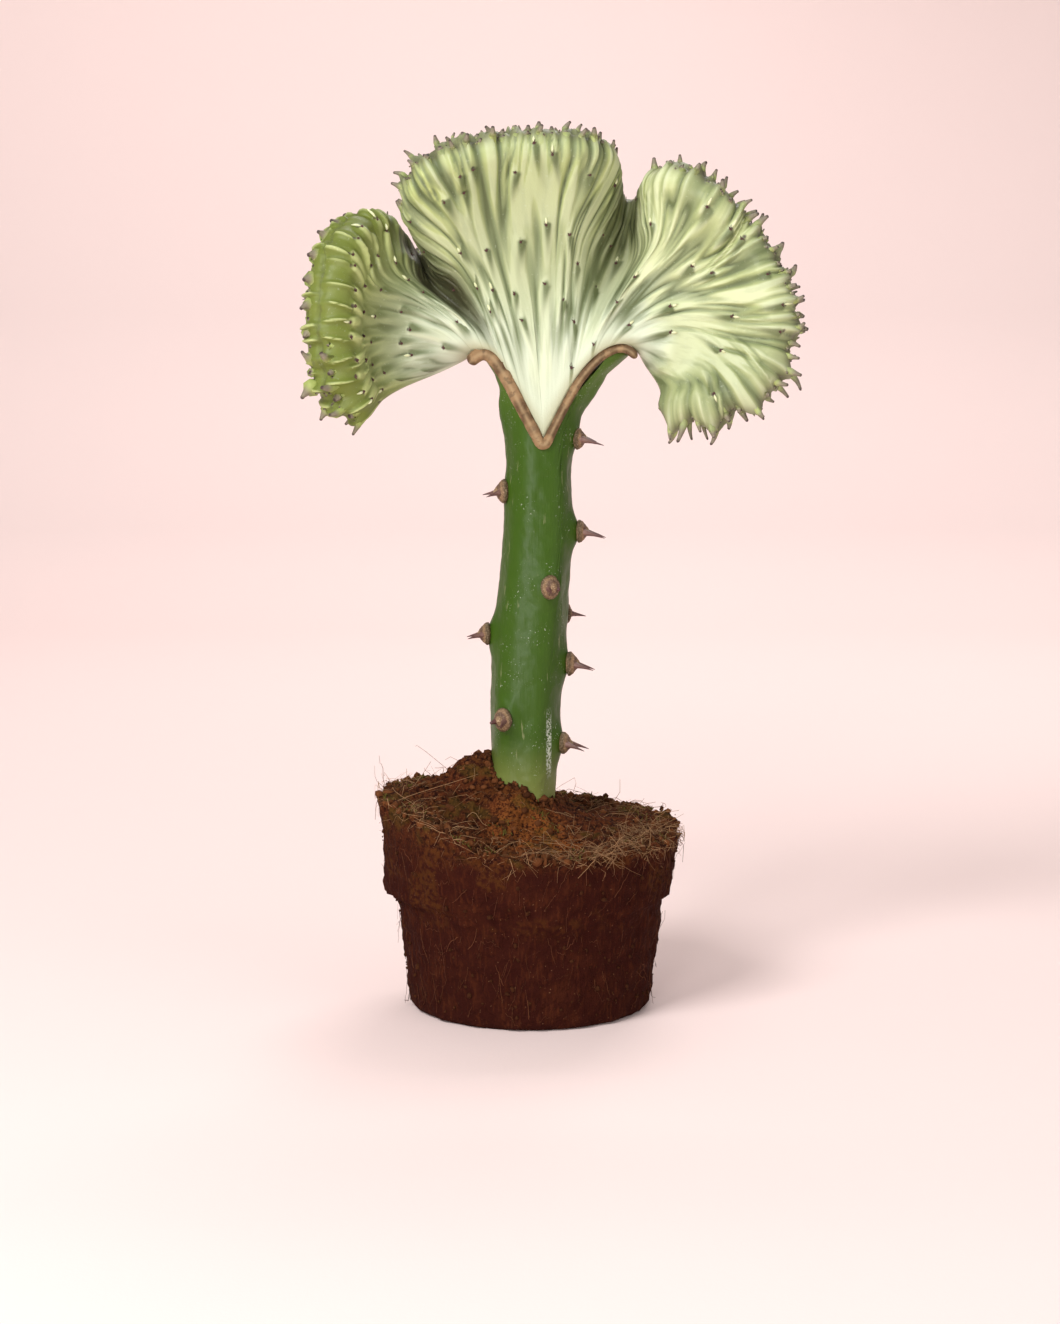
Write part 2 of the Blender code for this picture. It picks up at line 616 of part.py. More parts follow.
def add_crest(collection, look):
    """The crest: one closed sheet that runs up the front, over the growing edge and down the back."""
    middle, normal, heading, edge = fan_streamlines(CREST_COLUMNS, FACE_ROWS)
    across = unit(np.gradient(middle[:, -1], axis=0))
    half = half_thickness(middle, normal, FACE_ROWS, edge)
    draw = np.random.default_rng(EDGE_SEED)
    length = TOOTH_LENGTH * draw.uniform(TOOTH_SHORTEST, 1.0, (CREST_COLUMNS, 2))
    sway = TOOTH_SWAY * draw.uniform(-1, 1, (CREST_COLUMNS, 2))
    last = len(FACE_ROWS) - 1
    front = [(k, 90.0) for k in range(last + 1)] + [(last, angle) for angle in (*CAP_ANGLES, 0.0)]
    loop = front + [(k, -angle) for k, angle in front[-2::-1]] + front[:1]
    bm = bmesh.new()
    bmesh.ops.create_grid(bm, x_segments=CREST_COLUMNS - 1, y_segments=len(loop) - 1, size=1.0)
    for vert in bm.verts:
        row, angle = loop[round((vert.co.y + 1) / 2 * (len(loop) - 1))]
        column = merged_column(round((vert.co.x + 1) / 2 * (CREST_COLUMNS - 1)), row)
        side = int(angle > 0)
        thick = half[column, row, side] if angle else half[column, row].mean()
        full = (min(1.0, thick / WAIST_HALF_THICKNESS) * min(1.0, thick / edge[column])) ** 2
        outward = normal[column, row] * math.sin(math.radians(angle))
        place = middle[column, row] + thick * outward
        rib = RIB_HEIGHT if column % 2 else -0.45 * RIB_HEIGHT
        if row == last:
            onward = heading[column] * math.cos(math.radians(angle))
            place = place + CAP_ROUNDING * thick * onward
            if abs(angle) == CAP_ANGLES[1] and column % 2:
                place = place + sway[column, side] * across[column]
                rib = length[column, side]
            place = place + full * rib * (outward + onward)
        elif row:
            v = FACE_ROWS[row]
            rib *= ease((v - 0.62) / 0.25)
            knob = knob_relief(column + (0 if angle > 0 else 3), v)
            place = place + full * max(rib, knob) * outward
        vert.co = place
    bmesh.ops.remove_doubles(bm, verts=bm.verts, dist=0.02)
    bmesh.ops.recalc_face_normals(bm, faces=bm.faces)
    bmesh.ops.triangulate(bm, faces=bm.faces)
    return object_from(bm, "crest", collection, look)


def main():
    clear_scene()
    plant = new_collection("grafted_crested_spurge")
    add_root_ball(plant, material("soil"))
    add_stock(plant, material("stock"))
    add_seam(plant, material("cork"))
    add_crest(plant, material("crest"))


main()
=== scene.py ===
import math

import bmesh
import bpy
import numpy as np
from bpy.props import FloatProperty, FloatVectorProperty, IntProperty, PointerProperty
from mathutils import Matrix, Vector, noise


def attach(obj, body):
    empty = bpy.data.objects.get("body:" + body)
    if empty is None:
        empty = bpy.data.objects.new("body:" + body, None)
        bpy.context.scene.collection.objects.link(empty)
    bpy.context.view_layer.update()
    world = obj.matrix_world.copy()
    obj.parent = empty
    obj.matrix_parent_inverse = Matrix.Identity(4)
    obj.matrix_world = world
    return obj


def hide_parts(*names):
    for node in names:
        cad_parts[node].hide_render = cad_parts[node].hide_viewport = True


bl_info = {
    "name": "Potted crested spurge",
    "version": (1, 0, 0),
    "blender": (4, 5, 0),
    "location": "3D View > Sidebar > Spurge",
    "description": "Dresses the packed crested spurge with its ribs, teeth, spines, cork, soil and fibres",
    "category": "Object",
}

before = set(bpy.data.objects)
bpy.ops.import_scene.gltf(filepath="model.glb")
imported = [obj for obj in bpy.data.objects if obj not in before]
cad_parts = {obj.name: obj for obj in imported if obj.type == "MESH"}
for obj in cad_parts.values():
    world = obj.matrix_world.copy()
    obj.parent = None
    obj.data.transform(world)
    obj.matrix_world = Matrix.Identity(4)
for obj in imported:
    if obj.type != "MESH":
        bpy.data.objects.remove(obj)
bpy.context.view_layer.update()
MM = 0.001
GAP = 0.3  # clearance between pieces that touch, in millimetres

# The root ball's turned outline, in millimetres
BALL_FOOT_RADIUS = 48.5
BALL_STEP_RADIUS = 53.5
COLLAR_FOOT_RADIUS = 56.5
COLLAR_TOP_RADIUS = 60.0
STEP_HEIGHT = 46.0
RIM_HEIGHT = 72.0
# What raises the soil over the rim: the mound round the stem, the heap at its left and the clump in
# front of it, as (rise, x, y, spread in x, spread in y), and the high left side, as (rise, x, spread)
MOUNDS = (
    (17.0, -4.0, 0.0, 16.0, 16.0),
    (15.0, -23.0, 2.0, 13.0, 10.0),
    (5.0, -7.0, -19.0, 6.0, 6.0),
)
HIGH_SIDE = (15.0, -30.0, 10.0)
SOIL_SLOPE = 0.035  # rise towards the back, per millimetre
COLLAR_CORNER = (2.4, 51.0, 6.0, 0.6)  # how far it juts out on the left, height, spread up, spread round
CRUMB_SIZES = (11.0, 9.0, 8.0)  # lumps on the top, on the rim and on the wall
CRUMB_HEIGHTS = (2.2, 3.2, 0.9)
SOIL_REACH = 62.4  # the root ball goes no farther out than this
FIBRE_REACH = 62.5
MOSS_REACH = 59.0
HOLE_TOP = 84.0  # height at which the stem leaves the soil

# Stock: (height, centre x, half width in x, half depth in y)
STOCK_SECTIONS = (
    (32.0, -4.6, 9.5, 9.5),
    (50.0, -4.2, 11.0, 11.0),
    (76.0, -3.2, 12.3, 12.3),
    (91.0, -2.6, 12.7, 12.7),
    (108.0, -2.4, 13.4, 13.2),
    (124.0, -1.9, 14.0, 13.7),
    (140.0, -1.0, 14.3, 13.9),
    (156.0, 0.3, 14.3, 13.9),
    (172.0, 1.7, 13.9, 13.6),
    (188.0, 2.8, 13.6, 13.3),
    (204.0, 3.5, 13.0, 12.9),
    (218.0, 3.7, 12.6, 12.7),
    (228.0, 3.4, 13.2, 12.7),
    (240.0, 5.0, 15.8, 12.6),
    (248.0, 7.0, 18.2, 12.3),
    (254.0, 8.4, 21.8, 11.8),
    (259.0, 10.1, 26.5, 11.0),
    (263.0, 10.9, 30.5, 10.0),
    (268.0, 11.5, 35.0, 9.0),
)
STOCK_RANKS = 5
RANK_RELIEF = 0.035  # share of the radius
RANK_TWIST = 28.0  # degrees over the height of the stock
# Spine shields: (height, angle from +X towards the front in degrees, spine length, swelling)
SHIELDS = (
    (229.0, 14.0, 10.5, 2.6),
    (192.0, 4.0, 9.5, 3.4),
    (171.0, 67.0, 6.0, 2.0),
    (139.0, 8.0, 9.0, 2.8),
    (118.0, 122.0, 7.5, 2.0),
    (107.0, 12.0, 9.0, 2.8),
    (208.0, 168.0, 7.5, 1.4),
    (151.0, 176.0, 7.5, 2.8),
    (158.0, -38.0, 8.0, 2.4),
    (216.0, -95.0, 8.0, 2.4),
    (182.0, -100.0, 8.0, 2.4),
    (126.0, -100.0, 8.0, 2.4),
)
BARE_CUSHIONS = ((240.0, 180.0, 1.2), (247.0, 3.0, 2.4))
CUSHION_WIDTH = 5.2
CUSHION_HEIGHT = 7.5
# A shield's cone, its root and its half width across and along the stock; where the spines stand
SHIELD_HEIGHT = 4.4
SHIELD_ROOT = 1.4
SHIELD_WIDTH = 3.9
SHIELD_LENGTH = 4.7
SPINE_APART = 1.0
SPINE_RADII = ((0, 0.3, 0.5, 1), (1.7, 1.25, 0.75, 0.10))

# Graft line: the middle of the corky seam, seen from the front, (x, z)
GRAFT_LINE = (
    (-24.0, 258.6),
    (-20.0, 262.2),
    (-15.8, 262.0),
    (-11.9, 257.3),
    (-7.9, 250.3),
    (-3.2, 241.2),
    (1.4, 232.6),
    (5.2, 226.4),
    (8.9, 232.8),
    (12.9, 240.6),
    (17.8, 249.5),
    (22.9, 256.6),
    (28.4, 261.7),
    (33.9, 264.4),
    (38.7, 264.0),
    (41.8, 260.6),
)
GRAFT_EASING = 61  # ninths of a percent of the line over which its corners are eased
SEAM_THICKNESS = 3.0
SEAM_PROUD = 1.3  # how far the cork stands proud of the stock, front and back
# Half thickness of the bead that shows: places along the seam, then millimetres
SEAM_BEAD = ((0, 0.1, 0.45, 0.55, 1), (2.6, 2.7, 2.2, 1.8, 1.7))
SEAM_STEPS = 22

# Crest: a point on the growing edge's middle line, the way the edge faces there, half the sheet's
# thickness, and the share of the graft line where the streamline to that point starts
EDGE_GUIDES = (
    # left lobe
    ((-63.0, -26.0, 239.0), (-0.55, -0.50, -0.67), 8.0, 0),
    ((-71.0, -34.0, 247.0), (-0.50, -0.75, -0.40), 8.8, 0.008),
    ((-75.5, -39.0, 264.0), (-0.48, -0.87, -0.05), 9.0, 0.016),
    ((-76.0, -38.0, 283.0), (-0.45, -0.85, 0.25), 9.0, 0.026),
    ((-73.5, -31.0, 300.0), (-0.45, -0.60, 0.66), 8.6, 0.036),
    ((-68.0, -18.0, 309.0), (-0.30, -0.30, 0.91), 7.6, 0.048),
    ((-60.0, -2.0, 311.0), (-0.20, 0.05, 0.98), 6.4, 0.062),
    # fold behind, between the left and the centre lobe
    ((-52.5, 11.0, 305.0), (-0.20, 0.20, 0.95), 5.0, 0.082),
    ((-44.0, 18.0, 299.0), (-0.15, 0.28, 0.94), 4.7, 0.104),
    ((-36.5, 9.0, 301.5), (-0.25, 0.20, 0.94), 5.0, 0.13),
    # centre lobe
    ((-40.5, -2.0, 310.0), (-0.60, -0.10, 0.80), 5.0, 0.165),
    ((-44.5, -12.0, 320.5), (-0.68, -0.25, 0.69), 5.6, 0.22),
    ((-39.5, -18.5, 331.0), (-0.50, -0.40, 0.77), 7.0, 0.29),
    ((-26.0, -18.0, 337.5), (-0.17, -0.50, 0.85), 7.6, 0.36),
    ((-9.0, -16.0, 340.5), (0.00, -0.45, 0.90), 7.8, 0.44),
    ((7.0, -16.0, 341.5), (0.03, -0.45, 0.90), 7.6, 0.52),
    ((20.5, -14.0, 340.5), (0.22, -0.30, 0.93), 6.8, 0.59),
    ((28.5, -2.0, 336.5), (0.42, 0.05, 0.91), 5.6, 0.645),
    # fold behind, between the centre and the right lobe
    ((30.5, 15.0, 327.5), (0.15, 0.35, 0.92), 5.2, 0.685),
    ((36.5, 26.0, 320.0), (0.08, 0.40, 0.91), 5.2, 0.72),
    ((45.0, 24.0, 320.0), (0.08, 0.40, 0.91), 5.3, 0.755),
    # right lobe
    ((50.0, 9.0, 324.0), (0.00, 0.10, 0.99), 5.8, 0.785),
    ((53.5, -5.0, 328.0), (-0.05, -0.15, 0.98), 6.8, 0.81),
    ((62.0, -12.0, 327.0), (0.15, -0.30, 0.94), 7.6, 0.83),
    ((72.0, -14.0, 319.0), (0.45, -0.30, 0.84), 7.8, 0.85),
    ((81.0, -11.0, 308.0), (0.65, -0.20, 0.73), 7.6, 0.865),
    ((90.0, -14.0, 296.0), (0.85, -0.30, 0.43), 7.8, 0.88),
    ((95.0, -16.0, 281.0), (0.95, -0.25, 0.15), 8.0, 0.895),
    ((95.0, -16.0, 267.0), (0.95, -0.25, -0.15), 8.0, 0.915),
    ((89.0, -18.0, 254.0), (0.75, -0.30, -0.60), 8.0, 0.935),
    ((77.0, -18.0, 246.0), (0.35, -0.30, -0.90), 7.8, 0.957),
    ((64.0, -14.0, 243.0), (0.00, -0.20, -0.98), 7.6, 0.978),
    ((51.0, -8.0, 243.0), (-0.25, -0.10, -0.96), 7.0, 1),
)
DEPARTURE_PULL = 0.40  # share of the chord that keeps a streamline's first heading
ARRIVAL_PULL = 0.36
LEAVE_LIFT = 0.8  # how strongly a streamline first turns upwards
FREE_EDGE_SHARE = 0.12  # share of the growing edge over which that fades towards the free edges
FACING_REACH = 5.0  # distance over which the sheet's facing is averaged
SQUARE_FROM = 0.6  # up to this row the thickness is laid front to back; at the edge, square to the sheet
LEAST_FACING = 0.75
BEND_ROOM = 0.6  # share of a fold's inner radius that the thickness may fill
BEND_REACH = 0.0144  # share of the growing edge
FOOT_HALF_THICKNESS = 12.0
WAIST_HALF_THICKNESS = 6.4
WAIST_SHARE = 0.78  # the waist is never thicker than this share of the growing edge
CAP_ROUNDING = 0.75  # depth of the rounded growing edge over its half thickness
CROWNS = 104  # ribs and teeth along each side of the growing edge
EDGE_SEED = 41

# Areoles that the front shows: (share along the growing edge, distance from the growing line)
AREOLES = (
    (0.004, 13.1), (0.032, 32.7), (0.045, 28.0), (0.063, 45.1), (0.064, 62.8), (0.069, 30.0),
    (0.098, 31.8), (0.112, 44.1), (0.115, 13.7), (0.131, 11.0), (0.139, 9.7), (0.141, 32.1),
    (0.154, 9.4), (0.167, 7.9), (0.173, 21.3), (0.189, 62.2), (0.192, 8.1), (0.199, 43.0),
    (0.207, 25.6), (0.248, 14.8), (0.301, 26.0), (0.364, 48.0), (0.372, 36.7), (0.372, 61.9),
    (0.393, 19.6), (0.402, 61.7), (0.413, 20.8), (0.415, 13.6), (0.421, 46.4), (0.428, 12.1),
    (0.447, 65.2), (0.450, 75.2), (0.465, 16.6), (0.466, 44.8), (0.481, 7.3), (0.489, 62.1),
    (0.492, 38.4), (0.495, 9.5), (0.521, 67.1), (0.522, 41.7), (0.523, 17.0), (0.558, 48.6),
    (0.567, 69.9), (0.578, 86.0), (0.591, 31.2), (0.612, 30.0), (0.614, 47.7), (0.630, 33.4),
    (0.678, 75.5), (0.705, 24.7), (0.711, 60.1), (0.716, 48.3), (0.753, 11.2), (0.774, 11.0),
    (0.780, 32.3), (0.793, 9.5), (0.803, 26.9), (0.819, 67.4), (0.828, 8.8), (0.836, 50.2),
    (0.853, 7.8), (0.861, 27.5), (0.872, 8.9), (0.905, 51.8), (0.913, 28.9), (0.949, 12.3),
)
# Where the front doesn't show them they stand in rows: (distance of a row, spacing in it)
AREOLE_ROWS = ((13.0, 13.0), (25.0, 13.0), (39.0, 12.0), (53.0, 12.0), (68.0, 12.0), (84.0, 12.0))
AREOLE_CLEARANCE = 9.5
FRONT_CLEARANCE = 15.0
LOBE_ROWS = ((12.5, 5.4), (22.0, 8.0), (34.0, 12.0), (48.0, 12.0))
LOBE_CLEARANCE = 4.9
FOLDED_LOBE = 0.21  # up to here along the edge is the left lobe, whose ribs are thin keels

# What changes along the growing edge, as places on it and what holds there: how wide and long the
# ribs are, how long the teeth, how far the edge is drawn out into webs in millimetres, how much of
# its tooth the front keeps, and how much painted shade it gets in a fold behind the lobes
RIB_REGIONS = ((0.60, 0.72, 0.90, 0.96), (1.0, 1.4, 1.4, 1.6))
TOOTH_REGIONS = (
    (0.0, 0.05, 0.09, 0.24, 0.27, 0.34, 0.40, 0.60, 0.80, 0.90, 1.0),
    (2.5, 2.1, 1.3, 1.1, 1.4, 1.6, 1.2, 1.2, 1.4, 1.6, 2.0),
)
WEBS = (
    (0.0, 0.05, 0.10, 0.30, 0.32, 0.37, 0.40, 0.68, 0.72, 0.88, 0.93, 1.0),
    (5.0, 3.8, 1.0, 0.6, 4.6, 4.6, 1.4, 0.8, 2.1, 2.6, 6.4, 6.8),
)
FRONT_TEETH = ((0.05, 0.08, 0.20, 0.24), (1.0, 0.0, 0.0, 1.0))
FOLD_SHADE = (
    (0.225, 0.255, 0.312, 0.35, 0.565, 0.60, 0.665, 0.70),
    (0.0, 1.0, 1.0, 0.0, 0.0, 0.42, 0.42, 0.0),
)
WIDE_WEBS_FROM = 0.86  # from here the webs are wider, and every third crown has one, not every second
WEB_HALF_WIDTHS = (5.0, 7.6)
WEB_DEPTH = 7.0  # distance from the growing line over which a web fades out

# The fan's broad flutes, as (width, how much they turn aside), from its foot to its edge
FLUTE_LAYERS = ((42.0, 1.1), (19.0, 1.1), (8.4, 1.25))
FLUTE_HEIGHT = 2.1
GROWING_LINE = (1.1, 1.0)  # depth and half width of the furrow along the growing edge
PIT_DEPTH = 0.6

# A tooth: how far down the face it starts and stands, where its rings are along it, and their radii
# from its root. The teeth on the outside of the left lobe stand lower and are stouter.
TOOTH_ROOTS = (6.0, 2.6)
OUTER_ROOTS = (9.5, 5.6)
TOOTH_STEPS = np.array((0.15, 0.45, 0.75, 0.93, 1.0))[:, None]
TOOTH_RADII = np.array((0.7, 1.6, 1.45, 1.05, 0.76, 0.64, 0.30))
OUTER_THICKENING = np.array((2.2, 1.9, 1.5, 1.2, 1.0, 1.0, 1.0))
SHORTEST_TOOTH = 0.6
BUD_RADII = np.array((0.4, 0.6, 0.6, 0.5, 0.42, 0.36, 0.15))

# Stage: the backdrop's profile (y, z), and the lamps as (name, place, target, power, size), in metres
BACKDROP = ((-3.0, 0.0), (1.2, 0.0), (1.5, 0.06), (1.7, 0.26), (1.76, 0.6), (1.76, 3.0))
BACKDROP_HALF_WIDTH = 3.0
LAMPS = (
    ("key", (-0.70, -0.95, 1.15), (0.0, 0.0, 0.22), 18.0, (0.6, 0.6)),
    ("fill", (1.1, -0.9, 0.45), (0.0, 0.0, 0.22), 3.4, (1.0, 1.0)),
    ("strip", (-0.24, -1.04, 0.13), (0.0, 0.0, 0.18), 4.2, (0.20, 0.28)),
    ("side", (0.95, 0.35, 0.30), (0.0, 0.0, 0.22), 0.25, (0.14, 0.60)),
    ("back", (0.35, 1.1, 1.3), (0.0, 0.0, 0.22), 8.0, (0.8, 0.8)),
    ("backdrop", (0.0, 0.9, 1.5), (0.0, 1.7, 0.5), 7.0, (1.6, 0.3)),
)
CAMERA_PLACE = (0.0, -1.10, 0.290)
CAMERA_TILT = 7.8  # degrees down


def colour(name, description, default):
    return FloatVectorProperty(name=name, description=description, subtype="COLOR", default=default)


class CrestSettings(bpy.types.PropertyGroup):
    columns: IntProperty(name="Columns", description="Steps along the growing edge", default=700, min=105)
    ridges: FloatProperty(
        name="Ridges", description="Height of the ridges, as a share of the measured height", default=1.0
    )
    tooth: FloatProperty(
        name="Tooth length", description="Longest tooth on the growing edge", default=0.0052, unit="LENGTH"
    )
    cream: colour("Cream", "Colour of the ridges", (0.43, 0.475, 0.25))
    white: colour("White", "Colour near the graft", (0.59, 0.645, 0.48))
    # painted shade: this colour darkens the deepest grooves and creases
    grey: colour("Grey green", "Colour of the deepest grooves", (0.085, 0.108, 0.036))
    yellow: colour("Yellow green", "Colour of the rim", (0.44, 0.50, 0.18))
    fresh: colour("Fresh green", "The left lobe's edge", (0.150, 0.185, 0.028))
    tip: colour("Tips", "Colour of the teeth's tips", (0.060, 0.038, 0.032))


class StockSettings(bpy.types.PropertyGroup):
    skin: colour("Skin", "Colour of the stem", (0.028, 0.067, 0.004))
    young: colour("Light skin", "Colour near the soil", (0.24, 0.26, 0.07))
    cork: colour("Cork", "Colour of the graft seam", (0.27, 0.165, 0.080))
    shield: colour("Shields", "Colour of the pads under the spines", (0.21, 0.125, 0.062))
    spine: colour("Spines", "Colour of the spines", (0.085, 0.032, 0.028))


class SoilSettings(bpy.types.PropertyGroup):
    crumb: FloatProperty(
        name="Crumbs", description="Height of the crumbs on the top", default=0.0022, unit="LENGTH"
    )
    crumbs: IntProperty(name="Loose crumbs", description="How many lie on the soil", default=2600, min=0)
    fibres: IntProperty(name="Fibres", description="How many fibres stick out", default=2200, min=0)
    moss: IntProperty(name="Moss", description="How many moss shoots grow", default=900, min=0)
    dark: colour("Dark", "Colour of the damp wall", (0.029, 0.0060, 0.0038))
    brown: colour("Brown", "Colour of the coir", (0.080, 0.021, 0.0075))
    green: colour("Moss colour", "Colour of the moss", (0.070, 0.058, 0.010))


class StageSettings(bpy.types.PropertyGroup):
    floor: colour("Floor", "Colour of the floor", (0.94, 0.765, 0.73))
    light: FloatProperty(name="Light", description="Strength of the lamps, as a share", default=1.0, min=0.0)
    lens: FloatProperty(name="Lens", description="Focal length in millimetres", default=75.3, min=1.0)


class Value:
    """A shader socket on which sums are written; each one makes its Math node."""

    def __init__(self, look, socket):
        self.look = look
        self.socket = socket

    def math(self, operation, *others):
        return self.look.node("ShaderNodeMath", {"operation": operation}, (self, *others))

    def __add__(self, other):
        return self.math("ADD", other)

    def __sub__(self, other):
        return self.math("SUBTRACT", other)

    def __rsub__(self, other):
        return self.look.node("ShaderNodeMath", {"operation": "SUBTRACT"}, (other, self))

    def __mul__(self, other):
        return self.math("MULTIPLY", other)

    def __truediv__(self, other):
        return self.math("DIVIDE", other)

    def __pow__(self, other):
        return self.math("POWER", other)

    __radd__ = __add__
    __rmul__ = __mul__

    def eased(self, low, high):
        """0 below low, 1 above high, and smooth between them; low may be over high."""
        settings = {"interpolation_type": "SMOOTHSTEP"}
        return self.look.node(
            "ShaderNodeMapRange", settings, {"Value": self, "From Min": low, "From Max": high}
        )


class Look:
    """A material while it is being wired."""

    def __init__(self, name, **constants):
        self.material = bpy.data.materials.new(name)
        self.material.use_nodes = True
        self.tree = self.material.node_tree
        self.shader = self.tree.nodes["Principled BSDF"]
        self.wire(**{key.replace("_", " ").title().replace("Ior", "IOR"): v for key, v in constants.items()})

    def feed(self, socket, value):
        if isinstance(value, Value):
            self.tree.links.new(value.socket, socket)
        elif socket.type == "RGBA" and len(value) == 3:
            socket.default_value = (*value, 1.0)
        else:
            socket.default_value = value

    def node(self, kind, settings=None, inputs=(), output=0):
        """A node with its settings and inputs, by position or by name; gives one of its outputs."""
        made = self.tree.nodes.new(kind)
        for key, value in (settings or {}).items():
            setattr(made, key, value)
        pairs = inputs.items() if isinstance(inputs, dict) else enumerate(inputs)
        for key, value in pairs:
            self.feed(made.inputs[key], value)
        return Value(self, made.outputs[output])

    def wire(self, **inputs):
        for name, value in inputs.items():
            self.feed(self.shader.inputs[name], value)

    def attribute(self, name):
        return self.node("ShaderNodeAttribute", {"attribute_name": name}, output="Fac")

    def place(self):
        return self.node("ShaderNodeTexCoord", output="Object")

    def axis(self, letter):
        """The point's x, y or z in millimetres."""
        split = self.node("ShaderNodeSeparateXYZ", inputs=(self.place(),), output=letter)
        return split / MM

    def noise(self, size, detail=3.0, stretch=(1.0, 1.0, 1.0), where=None, shift=0.0):
        """Cloudy noise from 0 to 1 with lumps of that size in millimetres, stretched by the factors."""
        scale = tuple(1.0 / (MM * size * s) for s in stretch)
        moved = self.node(
            "ShaderNodeMapping",
            inputs={"Vector": where or self.place(), "Scale": scale, "Location": (shift, shift, shift)},
        )
        return self.node("ShaderNodeTexNoise", inputs={"Vector": moved, "Scale": 1.0, "Detail": detail})

    def mix(self, share, first, second):
        made = self.tree.nodes.new("ShaderNodeMix")
        made.data_type = "RGBA"
        made.clamp_factor = True
        colours = [socket for socket in made.inputs if socket.type == "RGBA"]
        self.feed(made.inputs[0], share)
        self.feed(colours[0], first)
        self.feed(colours[1], second)
        return Value(self, next(s for s in made.outputs if s.type == "RGBA"))

    def layered(self, tint, *layers):
        """The colour with each (share, colour) laid over it in turn."""
        for share, upper in layers:
            tint = self.mix(share, tint, upper)
        return tint

    def finish(self, tint, roughness, relief, height, strength=1.0):
        """Wires the colour, the roughness and a relief of that height in millimetres."""
        inputs = {"Height": relief, "Distance": height * MM, "Strength": strength}
        normal = self.node("ShaderNodeBump", inputs=inputs)
        self.wire(**{"Base Color": tint, "Roughness": roughness, "Normal": normal})
        return self


def ease(t):
    t = np.clip(t, 0, 1)
    return t * t * (3 - 2 * t)


def unit(vectors):
    return vectors / np.maximum(np.linalg.norm(vectors, axis=-1, keepdims=True), 1e-9)


def rough(points, size, octaves=1):
    """Cloudy noise, about -1 to 1, at points (..., 3) in millimetres, with lumps of that size."""
    flat = np.asarray(points, float).reshape(-1, 3)
    total = np.zeros(len(flat))
    for octave in range(octaves):
        step = size * 0.48**octave
        drawn = [noise.noise(Vector(p) / step + Vector((7.1 * octave, 3.3, 1.7))) for p in flat]
        total += np.array(drawn) * 0.6**octave
    return total.reshape(np.shape(points)[:-1])


def smooth_path(points, samples):
    """A Catmull-Rom curve through the points."""
    p = np.array(points, float)
    p = np.vstack((2 * p[0] - p[1], p, 2 * p[-1] - p[-2]))
    place = np.linspace(0, len(points) - 1, samples)
    first = np.minimum(place.astype(int), len(points) - 2)
    t = (place - first)[:, None]
    a, b, c, d = (p[first + k] for k in range(4))
    return 0.5 * (
        2 * b + (c - a) * t + (2 * a - 5 * b + 4 * c - d) * t**2 + (3 * b - a - 3 * c + d) * t**3
    )


def even_steps(path, samples):
    """The path again, with its samples at equal distances."""
    far = np.concatenate(([0.0], np.cumsum(np.linalg.norm(np.diff(path, axis=0), axis=1))))
    wanted = np.linspace(0, far[-1], samples)
    return np.stack([np.interp(wanted, far, path[:, k]) for k in range(path.shape[1])], axis=1)


def graft_path(samples, offset=0.0):
    """The graft line in (x, z), its corners eased, moved towards the crest by the offset."""
    fine = even_steps(smooth_path(GRAFT_LINE, 900), 900)
    window = np.hanning(GRAFT_EASING + 2)[1:-1]
    reach = GRAFT_EASING // 2
    padded = np.vstack((2 * fine[0] - fine[reach:0:-1], fine, 2 * fine[-1] - fine[-2 : -reach - 2 : -1]))
    path = sum(w * padded[k : k + len(fine)] for k, w in enumerate(window / window.sum()))
    along = unit(np.gradient(path, axis=0))
    path = path + offset * np.stack((-along[:, 1], along[:, 0]), axis=1)
    return even_steps(path, samples)


def woven(points, marks=None):
    """A grid whose vertices take the points, (across, along, 3) in millimetres, and the named marks."""
    columns, rows = points.shape[:2]
    bm = bmesh.new()
    bmesh.ops.create_grid(bm, x_segments=columns - 1, y_segments=rows - 1, size=1.0)
    layers = [(bm.verts.layers.float.new(name), values) for name, values in (marks or {}).items()]
    for vert in bm.verts:
        i = round((vert.co.x + 1) / 2 * (columns - 1))
        j = round((vert.co.y + 1) / 2 * (rows - 1))
        vert.co = points[i, j]
        for layer, values in layers:
            vert[layer] = values[i, j]
    return bm


def finished(bm, name, look, node=None, merge=0.004):
    """Makes the piece: closed, in metres, riding on the plant, with its material."""
    if merge:
        bmesh.ops.remove_doubles(bm, verts=bm.verts, dist=merge)
    bmesh.ops.recalc_face_normals(bm, faces=bm.faces)
    bmesh.ops.scale(bm, vec=(MM, MM, MM), verts=bm.verts)
    mesh = bpy.data.meshes.new(name)
    bm.to_mesh(mesh)
    bm.free()
    mesh.materials.append(look.material)
    mesh.shade_smooth()
    made = bpy.data.objects.new(name, mesh)
    bpy.context.scene.collection.objects.link(made)
    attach(made, "root")
    if node:
        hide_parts(node)
    return made


def many(shape, points, marks=None):
    """One bmesh with a copy of the shape for each entry of points, (copies, vertices, 3)."""
    mesh = bpy.data.meshes.new("one_of_many")
    shape.to_mesh(mesh)
    shape.free()
    bm = bmesh.new()
    for _ in range(len(points)):
        bm.from_mesh(mesh)
    bpy.data.meshes.remove(mesh)
    layers = [(bm.verts.layers.float.new(name), values.ravel()) for name, values in (marks or {}).items()]
    for vert, place in zip(bm.verts, points.reshape(-1, 3)):
        vert.co = place
    for layer, values in layers:
        for vert, value in zip(bm.verts, values):
            vert[layer] = value
    return bm


def rod(sides, rings):
    """An upright rod of radius 1 from z 0 to 1 with that many rings, closed at both ends."""
    bm = bmesh.new()
    bmesh.ops.create_cone(
        bm,
        cap_ends=True,
        segments=sides,
        radius1=1.0,
        radius2=1.0,
        depth=1.0,
        matrix=Matrix.Translation((0, 0, 0.5)),
    )
    upright = [e for e in bm.edges if abs(e.verts[0].co.z - e.verts[1].co.z) > 0.5]
    bmesh.ops.subdivide_edges(bm, edges=upright, cuts=rings - 2, use_grid_fill=True)
    return bm


